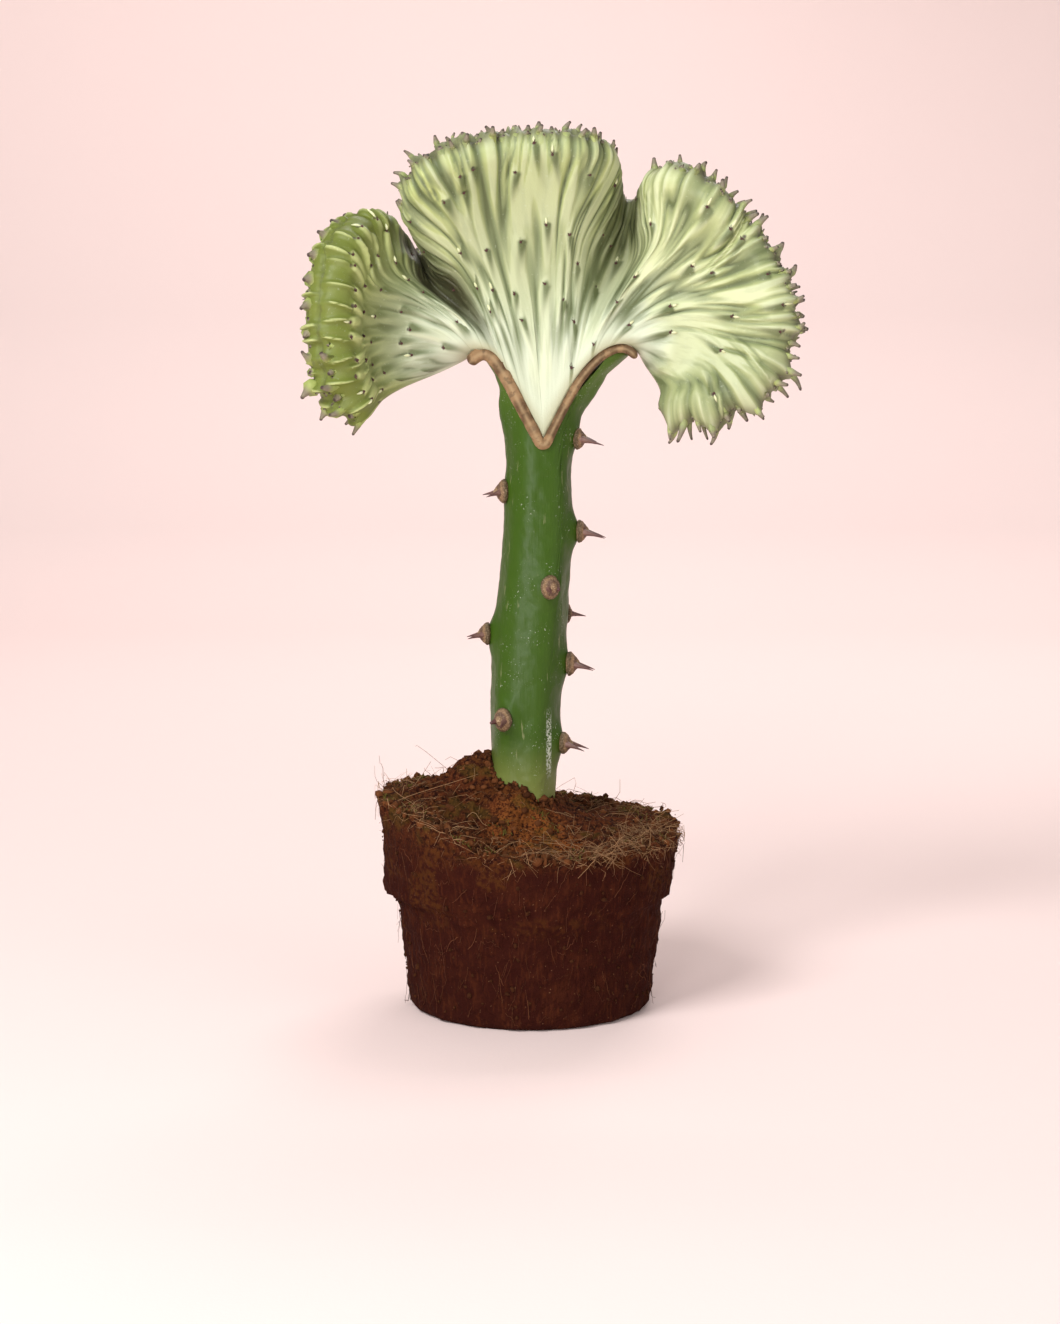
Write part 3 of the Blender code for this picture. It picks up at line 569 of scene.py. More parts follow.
def rods(paths, radii, sides):
    """Many bent rods: paths (copies, rings, 3) with radii (copies, rings); marks say how far along."""
    count, rings = radii.shape
    one = rod(sides, rings)
    shape = np.array([v.co for v in one.verts])
    ring = np.round(shape[:, 2] * (rings - 1)).astype(int)
    along = unit(np.gradient(paths, axis=1))
    least = np.argmin(np.abs(along.mean(axis=1)), axis=1)
    aside = unit(np.cross(along, np.eye(3)[least][:, None, :]))
    third = np.cross(along, aside)
    spread = aside[:, ring] * shape[:, :1] + third[:, ring] * shape[:, 1:2]
    points = paths[:, ring] + radii[:, ring, None] * spread
    share = np.broadcast_to(ring / (rings - 1), (count, len(ring)))
    kind = np.broadcast_to(np.linspace(0, 1, count)[:, None] * 97 % 1, (count, len(ring)))
    return many(one, points, {"share": share, "kind": kind})


def fan_streamlines(columns, rows):
    """The fan's middle surface: points and normals by (column, row), then headings and half
    thickness at the growing edge by column."""
    fine = 1200
    edge, heading, thickness, share = (
        smooth_path([np.atleast_1d(guide[k]) for guide in EDGE_GUIDES], fine) for k in range(4)
    )
    foot = graft_path(fine, SEAM_THICKNESS / 2 + GAP)
    share = np.clip(share[:, 0], 0, 1) * (fine - 1)
    base = np.stack([np.interp(share, np.arange(fine), foot[:, k]) for k in range(2)], 1)
    far = np.concatenate(([0.0], np.cumsum(np.linalg.norm(np.diff(edge, axis=0), axis=1))))
    wanted = np.linspace(0, far[-1], columns)

    def pick(values):
        return np.stack([np.interp(wanted, far, values[:, k]) for k in range(values.shape[1])], 1)

    edge, heading, base, thickness = map(pick, (edge, unit(heading), base, thickness))
    start = np.stack((base[:, 0], np.zeros(columns), base[:, 1]), 1)
    chord = edge - start
    length = np.linalg.norm(chord, axis=1, keepdims=True)
    place = np.linspace(0, 1, columns)
    lift = LEAVE_LIFT * ease(np.minimum(place, 1 - place) / FREE_EDGE_SHARE)[:, None]
    leave = unit(unit(chord * (1, 0, 1)) + lift * np.array((0.0, 0.0, 1.0)))
    p1 = start + DEPARTURE_PULL * length * leave
    p2 = edge - ARRIVAL_PULL * length * unit(heading)
    t = rows[None, :, None]
    a, b, c, d = (q[:, None, :] for q in (start, p1, p2, edge))
    middle = a * (1 - t) ** 3 + 3 * b * t * (1 - t) ** 2 + 3 * c * t**2 * (1 - t) + d * t**3
    across = np.gradient(middle, axis=0)
    along = np.gradient(middle, rows, axis=1)
    normal = unit(np.cross(across, along))
    square = ease((rows - SQUARE_FROM) / (1 - SQUARE_FROM))
    outward = np.empty_like(normal)
    for row, share in enumerate(square):
        step = np.linalg.norm(np.diff(middle[:, row], axis=0), axis=1)
        far = np.concatenate(([0.0], np.cumsum(step)))
        weight = np.exp(-(((far[:, None] - far[None, :]) / FACING_REACH) ** 2))
        smooth = unit(weight @ normal[:, row])
        way = unit(share * smooth + (1 - share) * np.array((0.0, -1.0, 0.0)))
        facing = np.sum(way * smooth, axis=1, keepdims=True)
        outward[:, row] = way / np.maximum(facing, LEAST_FACING)
    return middle, outward, unit(heading), thickness[:, 0]


def half_thickness(middle, outward, rows, edge):
    """Half thickness by (column, row, side), thinner on the hollow side of a fold."""
    waist = np.minimum(WAIST_HALF_THICKNESS, WAIST_SHARE * edge[:, None])
    half = FOOT_HALF_THICKNESS + (waist - FOOT_HALF_THICKNESS) * ease(rows / 0.5)
    half = half + (edge[:, None] - half) * ease((rows - 0.5) / 0.5)
    steps = np.linalg.norm(np.diff(middle, axis=0), axis=2)
    near = np.vstack((np.zeros((1, len(rows))), np.cumsum(steps, axis=0)))
    near = np.minimum(near, near[-1] - near)
    inside = 1 - np.clip(near / half, 0, 1)
    half = half * np.sqrt(np.clip(1 - inside**2, 0, 1))
    along = np.gradient(middle, axis=0)
    closing = np.sum(np.gradient(outward, axis=0) * along, axis=2) / np.sum(along**2, axis=2)
    reach = max(1, round(BEND_REACH * (len(middle) - 1)))
    sides = []
    for side in (-1, 1):
        room = BEND_ROOM / np.maximum(-side * closing, 0.001)
        padded = np.pad(room, ((reach, reach), (0, 0)), mode="edge")
        room = np.min([padded[k : k + len(room)] for k in range(2 * reach + 1)], axis=0)
        padded = np.pad(np.minimum(half, room), ((reach, reach), (0, 0)), mode="edge")
        eased = np.mean([padded[k : k + len(room)] for k in range(2 * reach + 1)], axis=0)
        sides.append(np.minimum(half, eased))
    return np.stack(sides, axis=2)


class Sheet:
    """The crest's closed skin before its ribs: points, ways out of it, distance from the growing
    line, width of a column and how much relief fits, by (column, step round the sheet)."""

    def __init__(self, columns, face_rows, cap_steps):
        rows = 1 - (1 - np.linspace(0, 1, face_rows)) ** 1.25
        middle, outward, heading, edge = fan_streamlines(columns, rows)
        half = half_thickness(middle, outward, rows, edge)
        last = face_rows - 1
        front = [(k, 90.0) for k in range(last + 1)]
        front += [(last, angle) for angle in np.linspace(90, 0, cap_steps + 1)[1:]]
        loop = front + [(k, -angle) for k, angle in front[-2::-1]]
        row = np.array([k for k, _ in loop])
        angle = np.radians([a for _, a in loop])
        self.crest_step = len(front) - 1
        self.share = np.linspace(0, 1, columns)
        self.rise = rows[row]
        thick = np.where(angle > 0, half[:, row, 1], half[:, row, 0])
        thick[:, self.crest_step] = half[:, last].mean(axis=1)
        lean = CAP_ROUNDING * np.where(row == last, np.cos(angle), 0.0)
        sideways = outward[:, row] * np.sin(angle)[:, None]
        onward = heading[:, None, :] * np.where(row == last, np.cos(angle), 0.0)[:, None]
        self.out = sideways + onward
        self.points = middle[:, row] + thick[..., None] * (sideways + heading[:, None, :] * lean[:, None])
        steps = np.linalg.norm(np.diff(self.points, axis=1), axis=2)
        far = np.hstack((np.zeros((columns, 1)), np.cumsum(steps, axis=1)))
        self.margin = np.abs(far - far[:, self.crest_step : self.crest_step + 1])
        self.width = np.linalg.norm(np.gradient(self.points, axis=0), axis=2) * (columns - 1)
        stout = np.clip(thick / WAIST_HALF_THICKNESS, 0, 1) * np.clip(thick / edge[:, None], 0, 1)
        self.full = stout**2
        self.heading = heading

    def steps(self, side):
        """The steps on the front, side 1, or the back, side -1."""
        return slice(0, self.crest_step + 1) if side > 0 else slice(self.crest_step, None)

    def reach(self, column, side):
        """How far a face runs down from the growing line."""
        return self.margin[column, self.steps(side)].max()

    def step_at(self, column, side, distance):
        """The step that is nearest to a distance from the growing line."""
        chosen = self.steps(side)
        return chosen.start + int(np.argmin(np.abs(self.margin[column, chosen] - distance)))


def webbed(crown):
    """Whether a crown draws the growing edge out to a point."""
    return crown % (2 if crown < WIDE_WEBS_FROM * CROWNS else 3) == 0


def web_relief(sheet):
    """How far the webs draw the sheet out at its growing edge, by (column, step)."""
    web = np.zeros(len(sheet.share))
    for crown in filter(webbed, range(CROWNS)):
        across = (sheet.share - (2 * crown + 1) / (2 * CROWNS)) * sheet.width[:, sheet.crest_step]
        wide = WEB_HALF_WIDTHS[crown >= WIDE_WEBS_FROM * CROWNS]
        reach = np.interp(crown / CROWNS, *WEBS)
        web = np.maximum(web, reach * np.clip(1 - np.abs(across) / wide, 0, 1) ** 1.5)
    return web[:, None] * np.exp(-((sheet.margin / WEB_DEPTH) ** 2))


def areole_places(sheet, draw):
    """Every areole as (share along the edge, distance from the growing line, side): those that the
    front shows, and rows of others that keep clear of them and of each other."""
    places = [(share, distance, 1) for share, distance in AREOLES]
    rows = [(row, False) for row in AREOLE_ROWS] + [(row, True) for row in LOBE_ROWS]
    for (distance, spacing), folded in rows:
        first, last = (0.0, FOLDED_LOBE) if folded else (FOLDED_LOBE, 1.0)
        for side in (-1, 1):
            clearance = LOBE_CLEARANCE if folded else FRONT_CLEARANCE if side > 0 else AREOLE_CLEARANCE
            share = draw.uniform(0.1, 0.9) * spacing / 500 + first
            while share < last:
                column = round(share * (len(sheet.share) - 1))
                far = distance + draw.uniform(-0.3, 0.3) * (4 if folded else spacing)
                width = sheet.width[column, sheet.step_at(column, side, far)]
                close = any(
                    math.hypot((share - s) * width, 0.7 * (far - d)) < clearance
                    for s, d, other in places
                    if other == side
                )
                if far < sheet.reach(column, side) - 9 and not close:
                    places.append((share, far, side))
                share += spacing * draw.uniform(0.75, 1.25) / max(width, 60.0)
    return places


def crest_tips(sheet):
    """Every ridge of the crest as (share along the edge, distance of its tip from the growing line,
    side, length, half width, height, how far it leans, its kind), with a fixed seed. A rib fades out
    down the face, a keel runs down to an areole, and a ridge runs on from the areole."""
    draw = np.random.default_rng(EDGE_SEED + 1)
    tips = []
    for crown in range(CROWNS):
        for side in (-1, 1):
            share = (2 * crown + 1) / (2 * CROWNS) + draw.uniform(-0.0018, 0.0018)
            wide, high, length = draw.uniform(1.1, 2.4), draw.uniform(1.0, 2.6), draw.uniform(8, 24)
            region = np.interp(share, *RIB_REGIONS)
            lean = draw.uniform(-0.15, 0.15)
            if share > FOLDED_LOBE and draw.uniform() < 0.75 / region:
                tips.append((share, 1.8, side, length * region, wide * region, high, lean, "rib"))
    for share, distance, side in areole_places(sheet, draw):
        room = sheet.reach(round(share * (len(sheet.share) - 1)), side) - distance
        length = min(0.7 * room, draw.uniform(9, 20))
        wide = draw.uniform(2.6, 4.0)
        lean = draw.uniform(-0.26, 0.26)
        high = draw.uniform(0.9, 1.7) * min(1.0, room / 26.0)
        plate = share < FOLDED_LOBE
        if plate and distance < 30:
            wide, length, lean = draw.uniform(3.2, 4.8), draw.uniform(11, 18), draw.uniform(-0.2, 0.2)
            high = draw.uniform(1.4, 2.2)
        tips.append((share, distance, side, length, wide, high, lean, "ridge"))
        if distance < 34 and not (plate and draw.uniform() < 0.08):
            start = draw.uniform(1.0, 2.6)
            wide, high = draw.uniform(0.9, 2.0), draw.uniform(1.0, 2.6)
            if plate:
                start = max(distance - draw.uniform(8.0, 11.5), 1.2)
                wide, high = draw.uniform(1.1, 1.9), draw.uniform(2.2, 3.4)
            tips.append((share, start, side, distance - start, wide, high, 1.2 * lean, "keel"))
    return tips


def zigzag(count):
    """Steps of the growing line to one side and the other, as places and how far it is off."""
    draw = np.random.default_rng(EDGE_SEED + 8)
    return np.arange(count + 1), draw.uniform(0.3, 1.3, count + 1) * (-1) ** np.arange(count + 1)


def flutes(sheet):
    """Broad folds that run up the fan and split towards its edge, from 0 in a groove to 1."""
    back = np.where(np.arange(len(sheet.rise)) > sheet.crest_step, 60.0, 0.0)
    layers = []
    for size, turns in FLUTE_LAYERS:
        flow = np.broadcast_arrays(sheet.share[:, None] * 480, sheet.rise * turns * size, back)
        layers.append(np.clip(np.abs(rough(np.stack(flow, axis=-1), size, 2)) * 2.5, 0, 1))
    low = layers[0] + ease((sheet.rise - 0.15) / 0.3) * (layers[1] - layers[0])
    return low + ease((sheet.rise - 0.45) / 0.35) * (layers[2] - low)


def fall(distance, reach):
    """1 at distance 0, and a bell's slope down from it."""
    return np.exp(-((distance / reach) ** 2))


def lay(mark, where, values):
    """Raises a mark to the values where they are higher."""
    mark[where] = np.maximum(mark[where], values)


def ridge_marks(sheet, tips):
    """By (column, step): the relief's height, how near a point is to the top of its flute or rib, how
    much painted shadow, in green, lies beside and below an areole, and the pit above the areole."""
    swelling, rib, slim, beside, green, pit = np.zeros((6, *sheet.margin.shape))
    last = len(sheet.share) - 1
    for share, distance, side, length, wide, high, lean, kind in tips:
        steps = sheet.steps(side)
        column = round(share * last)
        narrow = sheet.width[column, sheet.step_at(column, side, distance + length)]
        near = np.abs(sheet.share - share) < (2.2 * wide + abs(lean) * length) / max(narrow, 30.0)
        where = (near, steps)
        along = sheet.margin[where] - distance
        across = (sheet.share[near] - share)[:, None] * sheet.width[where] - lean * np.maximum(along, 0)
        low = np.clip(along / length, 0, 1)
        waist = wide * (0.72 + 0.28 * ease(low / 0.3) - 0.3 * low)
        apart = np.abs(across / waist)
        gap = np.clip(apart, 0, 1)
        if kind == "ridge":
            plate = share < FOLDED_LOBE
            profile = 1 - gap ** (1.5 if plate else 2.0)
            rise = np.where(along > 0, 1 - low**1.3, fall(along, 1.2 if plate else 2.2))
            fade = np.where(along > 0, np.exp(-along / 9.0), fall(along, 1.0))
            # painted shadow: darker green below each areole, offset to its shaded side
            lay(green, where, fade * np.exp(-((across / wide - 0.25) ** 2) / 0.3))
            lay(pit, where, fall(along + 0.8, 1.0) * fall(across, 1.3))
            lay(swelling, where, high * profile * rise)
        else:
            profile = 1 - gap ** (0.7 + 0.3 * wide)
            rise = np.where(along > 0, 1 - low ** (1.6 if kind == "rib" else 7.0), fall(along, 1.6))
            lay(rib, where, high * profile * rise)
            lay(slim, where, profile * rise)
            lay(beside, where, fall(apart - 1.35, 0.4) * rise)
    folded = ease((FOLDED_LOBE + 0.03 - sheet.share) / 0.03)[:, None] * ease(sheet.rise / 0.7)
    flute = flutes(sheet) * (1 - 0.75 * folded)
    beside *= 1 - folded
    height = FLUTE_HEIGHT * flute * ease(sheet.rise / 0.35) + swelling
    height = np.maximum(height - 0.4 * beside, rib + 0.35 * height)
    body = np.maximum(np.clip(flute + 0.45 * swelling, 0, 1) * (1 - 0.7 * beside), slim)
    return height, body, green, pit


def crest_look(settings):
    """Cream and grey-green along the flow of the fan, white at its foot and fresh green at the left."""
    look = Look("crest_skin", specular_ior_level=0.4)
    marks = ("margin", "ridge", "rise", "body", "green", "fold", "lobe", "pit", "across", "side")
    margin, ridge, rise, body, green, fold, lobe, pit, across, side = map(look.attribute, marks)
    x = look.axis("X")
    flow = look.node("ShaderNodeCombineXYZ", inputs=(across, rise * 0.022, side))
    streak = look.noise(4.2, 3.0, where=flow)
    broad = look.noise(11.0, 2.0, where=flow, shift=3.0)
    fine = look.noise(1.1, 3.0)
    facing = rise.eased(0.03, 0.28)
    # painted light: the right lobe coloured lighter as if lit more, and darker towards its bottom
    painted_light_right = x.eased(22.0, 48.0) * rise.eased(0.15, 0.45)
    lower = look.axis("Z").eased(290.0, 258.0) * painted_light_right
    calm = x.eased(-26.0, -44.0) * margin.eased(16.0, 30.0)
    middle = x.eased(-34.0, -20.0) * x.eased(34.0, 20.0) * rise.eased(0.22, 0.5)
    # painted shade: the grooves are darkened beyond their own grey-green tone
    groove_tone_and_shade = body.eased(0.85, 0.15) * (0.60 + 0.65 * streak) * facing
    groove_tone_and_shade = groove_tone_and_shade * (1.0 - 0.28 * painted_light_right) * (1.0 - 0.45 * calm)
    edge = margin.eased(19.0, 10.0) * lobe * (0.7 + 0.5 * streak)
    growing_line = margin.eased(1.5, 0.4) * lobe * streak.eased(0.38, 0.58)
    tint = look.layered(
        settings.cream,
        (rise.eased(0.62, 0.20), settings.white),
        (margin.eased(46.0, 10.0) * (0.25 + 0.75 * broad.eased(0.35, 0.65)), settings.yellow),
        # painted light on the right lobe, toned down towards its lower part
        (painted_light_right * (0.15 + 0.85 * body.eased(0.45, 1.0)), (0.56, 0.61, 0.33)),
        (lower * (0.35 + 0.4 * streak), (0.30, 0.34, 0.165)),
        # grooves grey-green with painted shade, painted highlight on flute tops, painted shade in deepest
        # creases
        (groove_tone_and_shade, (0.150, 0.185, 0.085)),
        (streak.eased(0.54, 0.36) * 0.4 * facing, (0.19, 0.235, 0.105)),
        # painted highlight along the tops of the flutes
        (body.eased(0.78, 0.98) * ridge.eased(0.15, 0.5) * 0.4, (0.66, 0.71, 0.46)),
        (middle * (0.16 + 0.3 * streak) * 0.6, (0.24, 0.29, 0.13)),
        # painted shade in the deepest creases
        (body.eased(0.28, 0.02) * (0.25 + 0.55 * facing), settings.grey),
        # painted shadow in green beside and below the areoles, and painted shade in the folds behind
        (green.eased(0.12, 0.75) * (0.6 + 0.6 * broad), (0.115, 0.145, 0.055)),
        (fold * margin.eased(72.0, 30.0) * (0.55 + 0.8 * streak), (0.060, 0.058, 0.026)),
        # the left lobe: its green edge, growing line, and painted highlight along its keels
        (lobe * margin.eased(42.0, 16.0) * 0.55, (0.27, 0.31, 0.070)),
        (edge * (1.0 - 0.8 * body.eased(0.55, 0.95)), settings.fresh),
        (growing_line * 0.6, (0.095, 0.11, 0.03)),
        (body.eased(0.50, 0.90) * lobe * margin.eased(28.0, 16.0) * 0.75, (0.50, 0.55, 0.22)),
        # pale specks, painted shade along the rim, darker and browner towards the foot, and the pits
        (fine.eased(0.62, 0.74) * 0.2, settings.white),
        (margin.eased(6.5, 1.5) * (1 - lobe) * (0.35 + 0.6 * streak), (0.135, 0.130, 0.066)),
        (rise.eased(0.10, 0.0) * 0.6, (0.33, 0.30, 0.15)),
        (pit.eased(0.40, 0.90) * 0.9, settings.tip),
    )
    relief = 0.5 * streak + 0.25 * fine + 0.25 * look.noise(0.45, 2.0)
    return look.finish(tint, 0.34 + 0.22 * broad + 0.1 * fine, relief, 0.45, 0.5)


def tooth_look(settings):
    look = Look("tooth_skin", specular_ior_level=0.4)
    share = look.attribute("share")
    fine = look.noise(0.9, 3.0)
    tint = look.layered(
        settings.yellow,
        (look.attribute("kind") * 0.8, (0.26, 0.30, 0.14)),
        (look.axis("X").eased(-50.0, -62.0) * 0.7, (0.30, 0.36, 0.08)),
        (share.eased(0.26, 0.55) * 0.9, (0.20, 0.16, 0.125)),
        (share.eased(0.66, 0.88), settings.tip),
    )
    return look.finish(tint, 0.5 + 0.2 * fine, fine, 0.15)


def spine_look(settings, name="spine_skin", worn=(0.26, 0.15, 0.11)):
    look = Look(name, specular_ior_level=0.4)
    fine = look.noise(0.8, 3.0, stretch=(1, 1, 4))
    tint = look.mix(look.attribute("share").eased(0.9, 0.1) * fine, settings.spine, worn)
    return look.finish(tint, 0.38 + 0.25 * fine, fine, 0.12)


class SPURGE_OT_crest(bpy.types.Operator):
    """Models the folded crest with its ribs, teeth, areoles and small spines"""

    bl_idname = "spurge.crest"
    bl_label = "Crest"

    def execute(self, context):
        settings = context.scene.spurge_crest
        sheet = Sheet(settings.columns, 61, 9)
        tips = crest_tips(sheet)
        height, body, green, pit = ridge_marks(sheet, tips)
        back = np.arange(len(sheet.rise)) > sheet.crest_step
        jump = np.interp(sheet.share * 3 * CROWNS, *zigzag(3 * CROWNS))
        depth, wide = GROWING_LINE
        relief = settings.ridges * sheet.full * (height - PIT_DEPTH * pit)
        relief -= depth * sheet.full * fall(np.where(back, -1.0, 1.0) * sheet.margin - jump[:, None], wide)
        points = sheet.points + relief[..., None] * sheet.out
        points = points + web_relief(sheet)[..., None] * sheet.heading[:, None]
        marks = {
            "margin": sheet.margin,
            "ridge": np.clip(height / 2.6, 0, 1),
            "body": body,
            # painted shadow by the areoles
            "green": green,
            "pit": pit,
            "rise": sheet.rise,
            "across": sheet.share[:, None] * 0.5,
            "side": np.where(back, 0.05, 0.0),
            "lobe": ease((0.245 - sheet.share) / 0.06)[:, None],
            # painted shade in the folds behind the lobes
            "fold": np.interp(sheet.share, *FOLD_SHADE)[:, None],
        }
        marks = {name: np.broadcast_to(m, sheet.margin.shape) for name, m in marks.items()}
        marks = {name: np.concatenate((m, m[:, :1]), axis=1) for name, m in marks.items()}
        bm = woven(np.concatenate((points, points[:, :1]), axis=1), marks)
        finished(bm, "crest", crest_look(settings), node="crest")
        self.add_teeth(sheet, points, settings)
        self.add_areoles(sheet, points, tips, context.scene.spurge_stock)
        return {"FINISHED"}

    def add_teeth(self, sheet, points, settings):
        """Curved fingers that the ribs of the margin end in, and small buds between them."""
        draw = np.random.default_rng(EDGE_SEED)
        across = unit(np.gradient(points, axis=0))
        rows = [*self.teeth(sheet, points, across, draw, settings), *self.buds(sheet, points, across, draw)]
        paths, radii = map(np.array, zip(*rows))
        finished(rods(paths, radii, 7), "crest_teeth", tooth_look(settings), merge=0)

    def teeth(self, sheet, points, across, draw, settings):
        """The path and radii of each tooth, one on either side of the growing line at every crown."""
        shape = (2 * CROWNS + 1, 2)
        scale = draw.uniform(0.30, 1.0, shape)
        sway = draw.uniform(-1, 1, shape)
        tiny = draw.uniform(0, 1, shape) < 0.25
        stout = draw.uniform(0.72, 1.1, shape)
        for crown in range(CROWNS):
            odd = 2 * crown + 1
            share = odd / (2 * CROWNS)
            column = round(share * (len(sheet.share) - 1))
            folded = share < FOLDED_LOBE
            pointed = np.interp(share, *WEBS) > 2 and webbed(crown)
            for which, side in enumerate((-1, 1)):
                outer = folded and side < 0
                roots = OUTER_ROOTS if outer else TOOTH_ROOTS
                below, step = (sheet.step_at(column, side, far) for far in roots)
                full = sheet.full[column, step]
                length = settings.tooth / MM * scale[odd, which] * max(full, 0.5)
                length *= np.interp(share, *TOOTH_REGIONS) * (0.4 if tiny[odd, which] else 1.0)
                if pointed:
                    length = max(length, 4.5 if share > 0.06 else 6.5)
                if outer:
                    length = 1.4 if crown % 2 else 3.6 + 3.4 * scale[odd, which]
                if side > 0:
                    length *= np.interp(share, *FRONT_TEETH)
                if length < SHORTEST_TOOTH:
                    continue
                out = unit(sheet.out[column, step])
                aside = across[column, step] * sway[odd, which]
                low = points[column, below] - 1.4 * out
                root = points[column, step] - 0.9 * out
                lift, onward = (0.9, 0.4) if outer else (0.18 if pointed else 0.34, 0.9)
                drop = 0.6 * ease((0.07 - share) / 0.05) * np.array((-0.4, 0.0, -1.0))
                way = unit(lift * out + onward * unit(sheet.heading[column]) + 0.4 * aside + drop)
                finger = TOOTH_STEPS * way + TOOTH_STEPS**2 * (0.25 * (aside - out))
                thick = TOOTH_RADII * stout[odd, which]
                if outer and crown % 2 == 0:
                    thick = thick * OUTER_THICKENING
                thick = thick * (0.75 + 0.25 * full) * (1.25 if folded else 1.0)
                yield np.vstack((low, root, root + length * finger)), thick

    def buds(self, sheet, points, across, draw):
        """The path and radii of each small bud near the growing line."""
        for _ in range(2 * CROWNS):
            column = draw.integers(4, len(sheet.share) - 4)
            if 0.05 < sheet.share[column] < FOLDED_LOBE:
                continue
            step = sheet.crest_step + draw.integers(-3, 4)
            full = sheet.full[column, step]
            out = unit(sheet.out[column, step])
            way = unit(out + 0.6 * draw.normal(0, 1) * across[column, step])
            root = points[column, step] - 0.4 * out
            length = draw.uniform(0.7, 2.3)
            sunk = np.array((-0.9, -0.4))[:, None] * out
            path = np.vstack((root + sunk, root + length * TOOTH_STEPS * way))
            yield path, BUD_RADII * draw.uniform(0.7, 1.1) * full

    def add_areoles(self, sheet, points, tips, stock):
        """Dark buttons at the tips of the ridges with a few tiny spines, some under a pale leaf scale that
        also stands in for a highlight.
        """
        draw = np.random.default_rng(EDGE_SEED + 2)
        paths, radii, scales_and_glints = [], [], []
        along = np.linspace(0, 1, 3)[:, None]
        for share, distance, side, *_, kind in tips:
            if kind != "ridge":
                continue
            column = round(share * (len(sheet.share) - 1))
            step = sheet.step_at(column, side, distance - 0.4)
            if sheet.full[column, step] < 0.25 or distance > sheet.reach(column, side) - 4:
                continue
            out = unit(sheet.out[column, step])
            root = points[column, step]
            toward = unit(points[column, sheet.step_at(column, side, distance - 3)] - root)
            across = np.cross(out, toward)
            for _ in range(draw.integers(2, 5)):
                turn = draw.uniform(-1.2, 1.2)
                aside = toward * math.cos(turn) * 0.8 + across * math.sin(turn) * 1.2
                way = unit(out * draw.uniform(0.5, 1.0) + aside)
                paths.append(root - 0.2 * out + along * draw.uniform(0.8, 1.7) * way)
                radii.append((0.24, 0.19, 0.07))
            paths.append(root + np.linspace(-0.5, 0.42, 3)[:, None] * out)
            radii.append((0.5, 0.62, 0.3))
            # pale leaf scales, put here partly as a stand-in for small highlights
            if draw.uniform() < 0.36:
                far = draw.uniform(2.6, 4.2)
                above = points[column, sheet.step_at(column, side, max(distance - far, 0.5))]
                leaf = np.linspace(0.2, 1.0, 5)[:, None]
                scales_and_glints.append(root + leaf * (above - root) + 0.35 * np.sin(math.pi * leaf) * out)
        look = spine_look(stock, "areole_skin", (0.075, 0.048, 0.034))
        finished(rods(np.array(paths), np.array(radii), 5), "crest_areoles", look, merge=0)
        wide = np.broadcast_to(np.array((0.2, 0.5, 0.55, 0.4, 0.12)), (len(scales_and_glints), 5))
        look = litter_look("pale_scales_and_glints", (0.80, 0.82, 0.52), (0.66, 0.68, 0.40), 0.4)
        finished(rods(np.array(scales_and_glints), wide, 6), "crest_scales_and_glints", look, merge=0)


def stock_section(height):
    """Centre x, half width and half depth of the stock at a height."""
    table = np.array(STOCK_SECTIONS)
    return [np.interp(height, table[:, 0], table[:, k]) for k in (1, 2, 3)]


def stock_points(height, angle, offset=0.0):
    """Points on the stock's skin; the angles are in radians from +X towards the front."""
    centre, half_width, half_depth = stock_section(height)
    twist = math.radians(RANK_TWIST) * height / STOCK_SECTIONS[-1][0]
    rank = 1 + RANK_RELIEF * np.cos(STOCK_RANKS * (angle + twist))
    out = np.zeros_like(angle + height) + offset
    cushions = [(s[0], s[1], s[3]) for s in SHIELDS] + list(BARE_CUSHIONS)
    for cushion_height, degrees, rise in cushions:
        turn = (angle - math.radians(degrees) + math.pi) % (2 * math.pi) - math.pi
        across = turn * half_width / CUSHION_WIDTH
        along = (height - cushion_height) / CUSHION_HEIGHT
        out = out + rise * np.exp(-(across**2) - along**2)
    x = centre + (half_width * rank + out) * np.cos(angle)
    y = -(half_depth * rank + out) * np.sin(angle)
    return np.stack((x, y, height + 0 * x), axis=-1)


def stock_look(settings):
    """Waxy green skin, paler at both ends, with scars and one pale streak near the soil that is flaking
    crust and a painted reflection.
    """
    look = Look("stock_skin", specular_ior_level=0.12, coat_weight=0.12, coat_roughness=0.34)
    height = look.axis("Z")
    cloud = look.noise(14.0, 3.0, stretch=(1, 1, 2.5))
    thread = look.noise(1.0, 3.0, stretch=(1, 1, 9), shift=2.0)
    patches = look.noise(10.0, 2.0, shift=9.0).eased(0.45, 0.6)
    wax = look.noise(0.7, 2.0, shift=5.0).eased(0.66, 0.72) * patches
    scar = look.noise(2.2, 4.0, stretch=(1, 1, 6), shift=11.0).eased(0.66, 0.72)
    # a pale streak low on the right: flaking crust, and a painted reflection of a lamp
    crust_and_reflection = ((look.axis("X") - 7.5) ** 2).eased(1.6, 0.2)
    crust_and_reflection = crust_and_reflection * height.eased(92.0, 98.0) * height.eased(124.0, 114.0)
    flakes = look.noise(0.9, 2.0, shift=17.0).eased(0.42, 0.58)
    tint = look.layered(
        settings.skin,
        (0.15 + 0.5 * cloud, (0.052, 0.108, 0.010)),
        (height.eased(112.0, 82.0) * (0.4 + 0.7 * cloud), settings.young),
        (height.eased(232.0, 258.0) * 0.7, (0.10, 0.17, 0.03)),
        (wax * 0.55, (0.62, 0.66, 0.52)),
        (scar * 0.5, (0.30, 0.30, 0.15)),
        (crust_and_reflection * flakes * 0.7, (0.70, 0.74, 0.62)),
    )
    relief = 0.6 * thread + 0.4 * look.noise(3.0, 3.0)
    return look.finish(tint, 0.30 + 0.2 * cloud + 0.25 * wax, relief, 0.35, 0.6)


